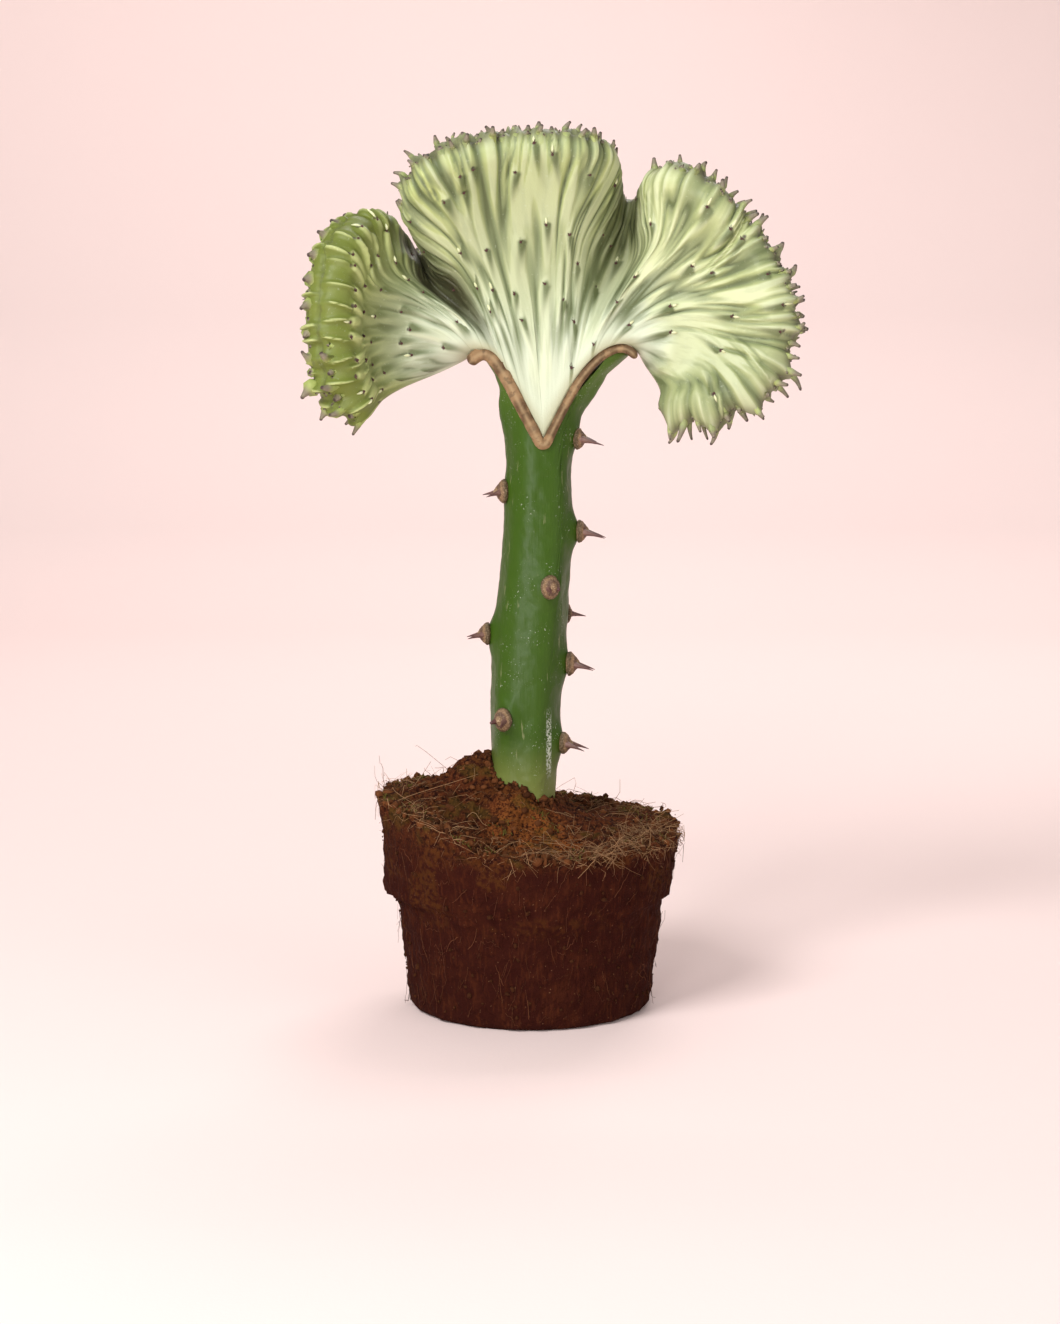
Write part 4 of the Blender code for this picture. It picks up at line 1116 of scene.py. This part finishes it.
def seam_look(settings):
    look = Look("graft_cork", specular_ior_level=0.3)
    band = look.attribute("band")
    flow = look.node("ShaderNodeCombineXYZ", inputs=(look.attribute("run"), band * 0.004, 0.0))
    line = look.noise(0.7, 3.0, stretch=(9, 1, 1), where=flow)
    lump = look.noise(2.4, 3.0)
    tint = look.layered(
        (0.115, 0.065, 0.030),
        (line.eased(0.36, 0.62), settings.cork),
        (band.eased(0.985, 1.0) * (0.15 + 0.5 * lump), (0.45, 0.33, 0.18)),
        (lump.eased(0.44, 0.30) * 0.6, (0.11, 0.07, 0.035)),
    )
    return look.finish(tint, 0.65 + 0.25 * lump, 0.6 * line + 0.4 * lump, 0.6)


def shield_look(settings):
    look = Look("shield_cork", specular_ior_level=0.35)
    ring = look.attribute("ring")
    lump = look.noise(1.6, 3.0)
    fine = look.noise(0.5, 3.0)
    wobbly = ring + 0.35 * (lump - 0.5)
    tint = look.layered(
        (0.075, 0.048, 0.020),
        (wobbly.eased(0.98, 0.80), settings.shield),
        (wobbly.eased(0.74, 0.62) * wobbly.eased(0.34, 0.46), (0.10, 0.052, 0.032)),
        (fine.eased(0.48, 0.66) * (0.30 + 0.5 * ring.eased(0.45, 0.15)), (0.55, 0.40, 0.25)),
    )
    return look.finish(tint, 0.55 + 0.25 * lump, 0.5 * lump + 0.5 * fine, 0.5)


class SPURGE_OT_stock(bpy.types.Operator):
    """Models the rooted stem, its corky shields and its pairs of spines"""

    bl_idname = "spurge.stock"
    bl_label = "Stock"

    def execute(self, context):
        settings = context.scene.spurge_stock
        around = 128
        rings = 250
        angle = np.linspace(0, 2 * math.pi, around + 1)[:, None]
        notch = graft_path(300, -(SEAM_THICKNESS / 2 + GAP)).T
        low, high = STOCK_SECTIONS[0][0], STOCK_SECTIONS[-1][0]
        tall = np.linspace(200.0, high, 300)[None, :]
        trial = stock_points(tall, angle)
        over = trial[..., 2] > np.interp(trial[..., 0], *notch)
        first = np.where(over.any(axis=1), over.argmax(axis=1), tall.shape[1] - 1)
        top = tall[0, first][:, None]
        height = low + (top - low) * np.linspace(0, 1, rings)[None, :]
        skin = stock_points(height, angle + 0 * height)
        middle = np.stack((stock_section(height)[0], np.zeros_like(height), height), axis=-1)
        bumps = rough(skin[:-1], 5.0, 2)
        bumps = np.vstack((bumps, bumps[:1]))
        fade = ease((top - height) / 6.0) * ease((height - low) / 6.0)
        skin = skin + (0.22 * bumps * fade)[..., None] * unit(skin - middle)
        centre = middle[0, 0]
        foot = [centre + share * (skin[:, 0] - centre) for share in (0.0, 0.5)]
        rim = skin[:, -1]
        flat = 0.5 * (rim + rim[::-1]) * (1, 0, 1)
        lid = [rim + share * (flat - rim) for share in (0.5, 1.0)]
        for ring in lid:
            ring[:, 2] = np.minimum(ring[:, 2], np.interp(ring[:, 0], *notch))
        points = np.concatenate((np.stack(foot, axis=1), skin, np.stack(lid, axis=1)), axis=1)
        finished(woven(points), "stock", stock_look(settings), node="stock_stem", merge=0.01)
        self.add_shields(settings)
        return {"FINISHED"}

    def add_shields(self, settings):
        """Corky pads, lumpy and ringed, each with a pair of curved spines."""
        draw = np.random.default_rng(EDGE_SEED + 3)
        ball = bmesh.new()
        bmesh.ops.create_icosphere(ball, subdivisions=4, radius=1.0)
        shape = np.array([v.co for v in ball.verts])
        share = np.linspace(0, 1, 8)[:, None]
        pads, paths, radii = [], [], []
        for height, degrees, length, _ in SHIELDS:
            angle = math.radians(degrees)
            centre = np.array((stock_section(height)[0], 0.0, height))
            skin = stock_points(np.array(height), np.array(angle))
            out = unit(skin - centre)
            across = unit(np.cross(np.array((0.0, 0.0, 1.0)), out))
            up = np.cross(out, across)
            cone = SHIELD_HEIGHT * np.clip(1.03 - np.hypot(shape[:, 1], shape[:, 2]), 0, 1) ** 0.7
            tall = np.where(shape[:, 0] > 0, cone, SHIELD_ROOT * shape[:, 0])
            local = np.stack((tall, SHIELD_WIDTH * shape[:, 1], SHIELD_LENGTH * shape[:, 2]), -1)
            local = local * draw.uniform(0.94, 1.06)
            local = local + 0.30 * rough(shape * 3.0 + height, 1.0, 3)[:, None] * unit(shape)
            pads.append(skin + local[:, :1] * out + local[:, 1:2] * across + local[:, 2:] * up)
            for side in (-1, 1):
                turn = math.radians(side * draw.uniform(15, 24))
                way = out * math.cos(turn) + across * math.sin(turn) - 0.12 * up
                bend = (-0.10 * up - 0.06 * side * across) * draw.uniform(0.4, 1.4)
                broken = 0.6 if draw.uniform() < 0.2 else 1.0
                root = skin + side * SPINE_APART * across + 0.2 * out
                paths.append(root + 1.15 * length * broken * (share * unit(way) + share**2 * bend))
                radii.append(np.interp(share[:, 0] * broken, *SPINE_RADII))
        ring = np.broadcast_to(np.hypot(shape[:, 1], shape[:, 2]), (len(pads), len(shape)))
        bm = many(ball, np.array(pads), {"ring": ring})
        finished(bm, "stock_shields", shield_look(settings), merge=0)
        bm = rods(np.array(paths), np.array(radii), 8)
        finished(bm, "stock_spines", spine_look(settings), merge=0)


class SPURGE_OT_seam(bpy.types.Operator):
    """Models the cork that healed between stock and crest"""

    bl_idname = "spurge.seam"
    bl_label = "Graft seam"

    def execute(self, context):
        settings = context.scene.spurge_stock
        samples = 320
        path = graft_path(samples)
        along = unit(np.gradient(path, axis=0))
        share = np.linspace(0, 1, samples)
        depth = stock_section(path[:, 1])[2] + SEAM_PROUD
        bead = np.interp(share, *SEAM_BEAD)
        t = np.concatenate((np.linspace(0, 0.8, 8), np.linspace(0.83, 1, SEAM_STEPS - 8)))
        swell = ease((t - 0.74) / 0.16)
        round_off = np.sqrt(np.clip(1 - (np.clip(t - 0.88, 0, 1) / 0.12) ** 2, 0, 1))
        thick = (SEAM_THICKNESS / 2 + (bead[:, None] - SEAM_THICKNESS / 2) * swell) * round_off
        from_end = np.clip(np.minimum(share, 1 - share) / 0.025, 0, 1)
        ends = np.sqrt(np.clip(1 - (1 - from_end) ** 2, 0.02, 1))[:, None]
        thick = thick * ends
        reach = t * depth[:, None] * (0.4 + 0.6 * ends)
        deep = np.concatenate((-reach, -reach[:, ::-1], reach, reach[:, ::-1]), axis=1)
        wide = np.concatenate((thick, -thick[:, ::-1], -thick, thick[:, ::-1]), axis=1)
        x = path[:, :1] - wide * along[:, 1:]
        z = path[:, 1:] + wide * along[:, :1]
        points = np.stack((x, deep, z), axis=-1)
        shown = ease((np.abs(deep) / depth[:, None] - 0.7) / 0.2)
        lump = rough(points, 2.6, 3) * 0.55 * shown * ends
        core = np.stack((path[:, 0], 0 * share, path[:, 1]), 1)[:, None]
        points = points + lump[..., None] * unit(points - core)
        marks = {
            "run": np.broadcast_to((share * 0.13)[:, None], deep.shape),
            "band": np.broadcast_to(np.concatenate((t, t[::-1], t, t[::-1])), deep.shape),
        }
        bm = woven(points, marks)
        bmesh.ops.remove_doubles(bm, verts=bm.verts, dist=0.01)
        bmesh.ops.holes_fill(bm, edges=[e for e in bm.edges if e.is_boundary], sides=0)
        finished(bm, "graft_seam", seam_look(settings), node="graft_seam")
        return {"FINISHED"}


def soil_height(x, y):
    """Height of the soil's surface: raised on the left, heaped behind the stem's left, mounded round it."""
    height = RIM_HEIGHT + SOIL_SLOPE * y
    for rise, middle_x, middle_y, wide, deep in MOUNDS:
        height += rise * np.exp(-((x - middle_x) ** 2) / (2 * wide**2) - (y - middle_y) ** 2 / (2 * deep**2))
    rise, middle_x, spread = HIGH_SIDE
    return height + rise / (1 + np.exp((x - middle_x) / spread))


def crumbs(points, size):
    """The roughness that the solid root ball has, lump for lump."""
    drawn = [
        noise.noise(Vector(p) / size) + 0.6 * noise.noise(Vector(p) / (0.45 * size) + Vector((9, 4, 2)))
        for p in points.reshape(-1, 3)
    ]
    return np.array(drawn).reshape(points.shape[:-1])


def top_crumbs(x, y):
    """How far the crumbs raise the soil's top, in millimetres."""
    return CRUMB_HEIGHTS[0] * crumbs(np.stack((x, y, np.full(len(x), RIM_HEIGHT)), -1), CRUMB_SIZES[0])


def ball_radius(height):
    """Radius of the root ball's wall or collar at a height."""
    wall = np.interp(height, (0, STEP_HEIGHT), (BALL_FOOT_RADIUS, BALL_STEP_RADIUS))
    collar = np.interp(height, (STEP_HEIGHT, RIM_HEIGHT), (COLLAR_FOOT_RADIUS, COLLAR_TOP_RADIUS))
    return np.where(height < STEP_HEIGHT, wall, collar)


def on_circle(radius, turn, height):
    """Points (x, y, z) from their radius, their turn from +X towards the front and their height."""
    return np.stack((radius * np.cos(turn), -radius * np.sin(turn), height), -1)


def kept_within(points, radius):
    """Moves points in towards the axis where they are farther out than the radius."""
    far = np.hypot(points[..., 0], points[..., 1])
    points[..., :2] *= np.minimum(1.0, radius / np.maximum(far, 1.0))[..., None]


def ball_outline():
    """The root ball's turned outline, (radius, height), from the middle of its foot up to its rim."""
    foot = ((0.0, 0.0), (20.0, 0.0), (38.0, 0.0), (45.5, 0.0), (47.5, 0.9), (48.4, 2.2))
    steps = np.linspace(0, 1, 40)
    wide = BALL_FOOT_RADIUS + 0.2 + steps * (BALL_STEP_RADIUS - BALL_FOOT_RADIUS)
    wall = (wide, 3.0 + steps * (STEP_HEIGHT - 3.5))
    steps = np.linspace(0, 1, 26)
    wide = COLLAR_FOOT_RADIUS + steps * (COLLAR_TOP_RADIUS - COLLAR_FOOT_RADIUS)
    collar = (wide, STEP_HEIGHT + 1.2 + steps * (RIM_HEIGHT - 1.5 - STEP_HEIGHT))
    return np.hstack((np.transpose(foot), wall, collar))


def ball_skin(around, settings):
    """The root ball's skin by (angle, step), from the middle of its foot up the wall, over the rim,
    in to the stem and down its hole, with a mark for its top."""
    angle = np.linspace(0, 2 * math.pi, around + 1)
    radius, level = ball_outline()
    outer = on_circle(radius[None, :], angle[:, None], np.broadcast_to(level, (around + 1, len(level))))
    # the step under the collar, wavy, and worn flat in front
    near_step = fall(level - STEP_HEIGHT, 7.0)
    outer[..., 2] += 2.2 * rough(on_circle(40.0, angle, 0 * angle), 16.0, 3)[:, None] * near_step
    worn = np.interp(
        level, (STEP_HEIGHT - 12, STEP_HEIGHT + 10), (BALL_STEP_RADIUS - 1.0, COLLAR_FOOT_RADIUS + 0.9)
    )
    near_front = np.exp(-(((angle - math.pi / 2) / 0.75) ** 4))[:, None] * near_step
    outer[..., :2] += on_circle(near_front * (worn - radius), angle[:, None], 0 * near_front)[..., :2]
    # the top, and the hole that the stem's foot fills
    inward = np.linspace(0, 1, 40)[1:, None] ** 0.9
    stem = stock_points(np.full(around + 1, HOLE_TOP), angle, GAP)
    rim = outer[:, -1]
    top = rim[:, None, :] + inward * (stem - rim)[:, None, :]
    top[..., 2] = RIM_HEIGHT
    depth = np.linspace(HOLE_TOP - 4.0, STOCK_SECTIONS[0][0] - GAP, 10)
    hole = stock_points(depth[None, :] + 0 * angle[:, None], angle[:, None] + 0 * depth, GAP)
    floor = hole[:, -1:]
    middle = np.broadcast_to(floor.mean(axis=0, keepdims=True), floor.shape)
    # crumbs and lumps
    points = np.concatenate((outer, top), axis=1)
    on_top = np.concatenate((np.zeros(outer.shape[1]), np.ones(top.shape[1])))
    rise = np.where(on_top > 0, 1.0, np.clip((points[..., 2] - RIM_HEIGHT + 8.0) / 8.0, 0, 1))
    lift = soil_height(points[..., 0], points[..., 1]) - RIM_HEIGHT
    raised = settings.crumb / MM * crumbs(points, CRUMB_SIZES[0])
    fine = rough(points, 4.5, 3) + 0.5 * rough(points + 50, 2.4, 1)
    touching = np.ones(points.shape[:2])
    touching[:, -1] = 0.25
    away = unit(points * (1, 1, 0))
    points[..., 2] += rise * (lift + (raised + 1.7 * fine) * touching)
    rim_lumps, wall_lumps = (CRUMB_HEIGHTS[k] * crumbs(points, CRUMB_SIZES[k]) for k in (1, 2))
    skin = wall_lumps * (1 - rise) + (rise * rim_lumps + (0.45 + 0.7 * rise) * fine) * (1 - on_top)
    out, height, tall, wide = COLLAR_CORNER
    bulge = out * fall(points[..., 2] - height, tall) * (points[..., 2] > STEP_HEIGHT)
    skin += bulge * fall(angle[:, None] - math.pi, wide)
    skin *= points[..., 2] > 0.5
    points += skin[..., None] * away
    kept_within(points, SOIL_REACH)
    points = np.concatenate((points, hole, 0.5 * (floor + middle), middle), axis=1)
    points[-1] = points[0]
    below = np.zeros((around + 1, points.shape[1] - len(on_top)))
    return points, {"top": np.hstack((rise, below))}


def soil_look(settings):
    """Damp, nearly black coir on the wall, and brown, rusty and mossy crumbs on the top."""
    look = Look("soil_skin", specular_ior_level=0.04)
    top = look.attribute("top")
    x, y, z = map(look.axis, "XYZ")
    lump = look.noise(9.0, 4.0)
    grain = look.noise(2.2, 4.0, shift=4.0)
    thread = look.noise(1.4, 4.0, stretch=(1, 1, 5), shift=8.0)
    fuzz = look.noise(0.8, 4.0, shift=1.0)
    wall = look.mix(
        lump.eased(0.45, 0.75) * 0.28 + thread.eased(0.50, 0.72) * 0.4, settings.dark, settings.brown
    )
    rusty = ((x - 2.0) ** 2 + (y + 32.0) ** 2).eased(620.0, 100.0) * grain.eased(0.30, 0.55)
    upper = look.layered(
        (0.018, 0.005, 0.003),
        (grain.eased(0.34, 0.66), settings.brown),
        (fuzz.eased(0.52, 0.66) * 0.6, (0.15, 0.052, 0.018)),
        (rusty * fuzz.eased(0.36, 0.56), (0.21, 0.064, 0.016)),
    )
    patch = look.noise(16.0, 2.0, shift=31.0).eased(0.50, 0.62) * z.eased(34.0, 48.0)
    mossy = look.noise(12.0, 3.0, shift=14.0).eased(0.54, 0.64) * top.eased(0.2, 0.9)
    tint = look.layered(
        wall,
        (top, upper),
        (patch * grain.eased(0.40, 0.62) * 0.55, (0.085, 0.030, 0.007)),
        (mossy * 0.6 * grain, settings.green),
        (look.noise(0.9, 1.0, shift=21.0).eased(0.73, 0.78) * 0.6, (0.20, 0.10, 0.05)),
    )
    return look.finish(tint, 0.82 + 0.15 * grain, 0.5 * grain + 0.3 * thread + 0.2 * fuzz, 2.0)


def litter_look(name, first, second, roughness=0.85):
    """A look that changes from piece to piece between two colours."""
    look = Look(name, specular_ior_level=0.06)
    fine = look.noise(0.8, 3.0)
    tint = look.mix(look.attribute("kind") * 0.75 + 0.35 * fine, first, second)
    return look.finish(tint, roughness - 0.1 * fine, fine, 0.3)


def fewer(count):
    """All of them: the count is passed through whole."""
    return count // 1


class SPURGE_OT_soil(bpy.types.Operator):
    """Models the root ball with its crumbs, fibres, roots and moss"""

    bl_idname = "spurge.soil"
    bl_label = "Root ball"

    def execute(self, context):
        settings = context.scene.spurge_soil
        points, marks = ball_skin(300, settings)
        bm = woven(points, marks)
        finished(bm, "root_ball", soil_look(settings), node="root_ball", merge=0.01)
        self.add_crumbs(settings)
        self.add_fibres(settings)
        self.add_moss(settings)
        return {"FINISHED"}

    def on_top(self, draw, count, rim=0.5):
        """Seeded places on the top, a share of them near the rim, as (x, y, z) arrays."""
        turn = draw.uniform(0, 2 * math.pi, count)
        near_rim = draw.uniform(0, 1, count) < rim
        far = np.where(near_rim, draw.uniform(49, 61, count), 14 + 44 * np.sqrt(draw.uniform(0, 1, count)))
        place = on_circle(far, turn, np.zeros(count))
        self.settle(place)
        return place

    def settle(self, place, above=0.0):
        """Sets places down on the soil's top, or as far above it as told."""
        x, y = place[:, 0], place[:, 1]
        place[:, 2] = soil_height(x, y) + top_crumbs(x, y) + above

    def on_wall(self, draw, count):
        """Seeded places on the wall, as their turn and their height."""
        return draw.uniform(0, 2 * math.pi, count), draw.uniform(4.0, 76.0, count)

    def add_crumbs(self, settings):
        """Loose crumbs on the top, on the wall and round the foot of the stem."""
        draw = np.random.default_rng(EDGE_SEED + 4)
        count = fewer(settings.crumbs)
        ball = bmesh.new()
        bmesh.ops.create_icosphere(ball, subdivisions=1, radius=1.0)
        shape = np.array([v.co for v in ball.verts])
        size = 0.4 + 2.0 * draw.uniform(0, 1, count) ** 2.5
        place = self.on_top(draw, count)
        turn, height = self.on_wall(draw, count)
        on_wall = draw.uniform(0, 1, count) < 0.33
        place = np.where(on_wall[:, None], on_circle(ball_radius(height), turn, height), place)
        size = np.where(on_wall, 0.6 * size, size)
        by_stem = draw.uniform(0, 1, count) < 0.10
        collar = stock_points(np.full(count, HOLE_TOP), turn, draw.uniform(0.2, 3.0, count))
        self.settle(collar, draw.uniform(-0.6, 1.2, count))
        place = np.where(by_stem[:, None], collar, place)
        size = np.where(by_stem, 0.5 + 0.6 * size, size)
        lump = draw.uniform(0.6, 1.25, (count, len(shape), 1))
        squash = draw.uniform(0.6, 1.2, (count, 1, 3))
        points = place[:, None] + size[:, None, None] * shape[None] * lump * squash
        shade = draw.uniform(0, 1, count) * np.where(on_wall, 0.12, 1.0)
        kind = np.broadcast_to(shade[:, None], points.shape[:2])
        look = litter_look("crumbs", (0.016, 0.0045, 0.0025), (0.15, 0.052, 0.018), 0.95)
        finished(many(ball, points, {"kind": kind}), "soil_crumbs", look, merge=0)

    def add_fibres(self, settings):
        """Coir fibres that stick out of the top, many of them in front, and roots that cling to the wall."""
        draw = np.random.default_rng(EDGE_SEED + 5)
        count = fewer(settings.fibres)
        share = np.linspace(0, 1, 7)
        place = self.on_top(draw, count, rim=0.45)
        front = draw.uniform(0, 1, count) < 0.25
        turn = draw.uniform(0.15, 1.35, count)
        moved = on_circle(draw.uniform(44, 60, count), turn, np.zeros(count))
        place[front, :2] = moved[front, :2]
        self.settle(place, -0.6)
        way = draw.uniform(0, 2 * math.pi, count)
        start = unit(np.stack((np.cos(way), np.sin(way), draw.uniform(-0.1, 0.7, count)), -1))[:, None]
        bend = (draw.normal(0, 1, (count, 3)) * (0.7, 0.7, 0.4))[:, None]
        curl = draw.normal(0, 1, (count, 1, 3)) * 0.12
        length = (3 + 13 * draw.uniform(0, 1, count) ** 2.2)[:, None, None]
        far = share[None, :, None]
        paths = place[:, None] + length * (far * start + far**2 * bend * 0.7)
        paths = paths + length * curl * np.sin(far * draw.uniform(3, 9, (count, 1, 1)))
        paths[..., 2] -= 3.0 * share**2
        kept_within(paths, FIBRE_REACH)
        radii = draw.uniform(0.06, 0.16, (count, 1)) * np.linspace(1, 0.5, len(share))
        look = litter_look("coir", (0.075, 0.028, 0.012), (0.42, 0.24, 0.12), 0.8)
        finished(rods(paths, radii, 4), "coir_fibres", look, merge=0)
        count = 480
        turn, height = self.on_wall(draw, count)
        run = draw.uniform(-0.12, 0.12, count)[:, None] * share
        drop = draw.uniform(-14, 14, count)[:, None] * share**1.3
        drop = drop + draw.normal(0, 0.7, (count, len(share)))
        high = np.clip(height[:, None] + drop, 2.0, 70.0)
        angle = turn[:, None] + run
        wide = ball_radius(high)
        flat = on_circle(wide, angle, high)
        stray = draw.uniform(0, 1, (count, 1)) ** 3 * 3.0 * share
        lumps = CRUMB_HEIGHTS[2] * crumbs(flat, CRUMB_SIZES[2]) + 0.45 * rough(flat, 4.5, 3)
        wide = wide + lumps + 0.1 + stray
        radii = draw.uniform(0.05, 0.13, (count, 1)) * np.linspace(1, 0.6, len(share))
        look = litter_look("roots", (0.045, 0.012, 0.007), (0.15, 0.055, 0.025), 0.8)
        bm = rods(on_circle(wide, angle, high), radii, 4)
        finished(bm, "wall_roots", look, merge=0)

    def add_moss(self, settings):
        """Low moss shoots in tufts."""
        draw = np.random.default_rng(EDGE_SEED + 6)
        count = fewer(settings.moss)
        tufts = self.on_top(draw, 34, rim=0.8)
        chosen = tufts[draw.integers(0, len(tufts), count)]
        place = chosen + draw.normal(0, 1, (count, 3)) * (2.6, 2.6, 0.0)
        lumps = top_crumbs(place[:, 0], place[:, 1])
        kept_within(place, MOSS_REACH)
        place[:, 2] = soil_height(place[:, 0], place[:, 1]) + lumps - 0.4
        way = draw.normal(0, 1, (count, 3)) * (0.7, 0.7, 0.2) + (0, 0, 1.0)
        share = np.linspace(0, 1, 3)[None, :, None]
        paths = place[:, None] + draw.uniform(0.8, 2.2, count)[:, None, None] * share * unit(way)[:, None]
        radii = draw.uniform(0.2, 0.42, (count, 1)) * np.array((1.0, 0.9, 0.25))
        look = litter_look("moss", settings.green, (0.15, 0.115, 0.028), 0.85)
        finished(rods(paths, radii, 3), "moss_tufts", look, merge=0)


class SPURGE_OT_stage(bpy.types.Operator):
    """Sets the floor, the lamps and the camera"""

    bl_idname = "spurge.stage"
    bl_label = "Stage"

    def execute(self, context):
        scene = context.scene
        settings = scene.spurge_stage
        self.add_floor(scene, settings)
        self.add_lamps(scene, settings)
        view = bpy.data.cameras.new("camera")
        view.sensor_width = 36.0
        view.lens = settings.lens
        camera = bpy.data.objects.new("camera", view)
        camera.location = CAMERA_PLACE
        camera.rotation_euler = (math.radians(90 - CAMERA_TILT), 0.0, 0.0)
        scene.collection.objects.link(camera)
        scene.camera = camera
        scene.view_settings.view_transform = "Standard"
        return {"FINISHED"}

    def add_floor(self, scene, settings):
        """A sheet of pale paper that curves up behind the plant."""
        bm = bmesh.new()
        line = [bm.verts.new((-BACKDROP_HALF_WIDTH, y, z)) for y, z in BACKDROP]
        edges = [bm.edges.new(pair) for pair in zip(line, line[1:])]
        moved = bmesh.ops.extrude_edge_only(bm, edges=edges)["geom"]
        moved = [g for g in moved if isinstance(g, bmesh.types.BMVert)]
        bmesh.ops.translate(bm, vec=(2 * BACKDROP_HALF_WIDTH, 0, 0), verts=moved)
        bmesh.ops.recalc_face_normals(bm, faces=bm.faces)
        mesh = bpy.data.meshes.new("floor")
        bm.to_mesh(mesh)
        bm.free()
        mesh.shade_smooth()
        floor = bpy.data.objects.new("floor", mesh)
        scene.collection.objects.link(floor)
        look = Look("floor_paper", specular_ior_level=0.1)
        grain = look.noise(60.0, 2.0)
        tint = look.mix(grain * 0.12, settings.floor, tuple(0.96 * c for c in settings.floor))
        look.finish(tint, 0.85 + 0.1 * grain, look.noise(1.5, 2.0), 0.05)
        mesh.materials.append(look.material)

    def add_lamps(self, scene, settings):
        """Soft boxes round the plant, and a dim pale room."""
        world = bpy.data.worlds.new("studio")
        world.use_nodes = True
        back = world.node_tree.nodes["Background"]
        back.inputs["Color"].default_value = (1.0, 0.97, 0.96, 1.0)
        back.inputs["Strength"].default_value = 0.30
        scene.world = world
        for name, place, target, power, size in LAMPS:
            light = bpy.data.lights.new(name, "AREA")
            light.energy = power * settings.light
            light.shape = "RECTANGLE"
            light.size, light.size_y = size
            lamp = bpy.data.objects.new(name, light)
            lamp.location = place
            lamp.rotation_euler = (Vector(target) - Vector(place)).to_track_quat("-Z", "Y").to_euler()
            scene.collection.objects.link(lamp)


STEPS = (SPURGE_OT_crest, SPURGE_OT_seam, SPURGE_OT_stock, SPURGE_OT_soil, SPURGE_OT_stage)


class SPURGE_PT_panel(bpy.types.Panel):
    """Lists the steps that dress the plant, and their settings"""

    bl_label = "Crested spurge"
    bl_space_type = "VIEW_3D"
    bl_region_type = "UI"
    bl_category = "Spurge"

    def draw(self, context):
        for step in STEPS:
            self.layout.operator(step.bl_idname)
        for name in SETTINGS:
            group = getattr(context.scene, name)
            column = self.layout.column()
            for key in group.__annotations__:
                column.prop(group, key)


SETTINGS = {
    "spurge_crest": CrestSettings,
    "spurge_stock": StockSettings,
    "spurge_soil": SoilSettings,
    "spurge_stage": StageSettings,
}


def register():
    for cls in (*SETTINGS.values(), *STEPS, SPURGE_PT_panel):
        bpy.utils.register_class(cls)
    for name, cls in SETTINGS.items():
        setattr(bpy.types.Scene, name, PointerProperty(type=cls))


def unregister():
    for name in SETTINGS:
        delattr(bpy.types.Scene, name)
    for cls in (SPURGE_PT_panel, *STEPS[::-1], *SETTINGS.values()):
        bpy.utils.unregister_class(cls)


def main():
    register()
    for step in STEPS:
        family, name = step.bl_idname.split(".")
        getattr(getattr(bpy.ops, family), name)()


if __name__ == "__main__":
    main()
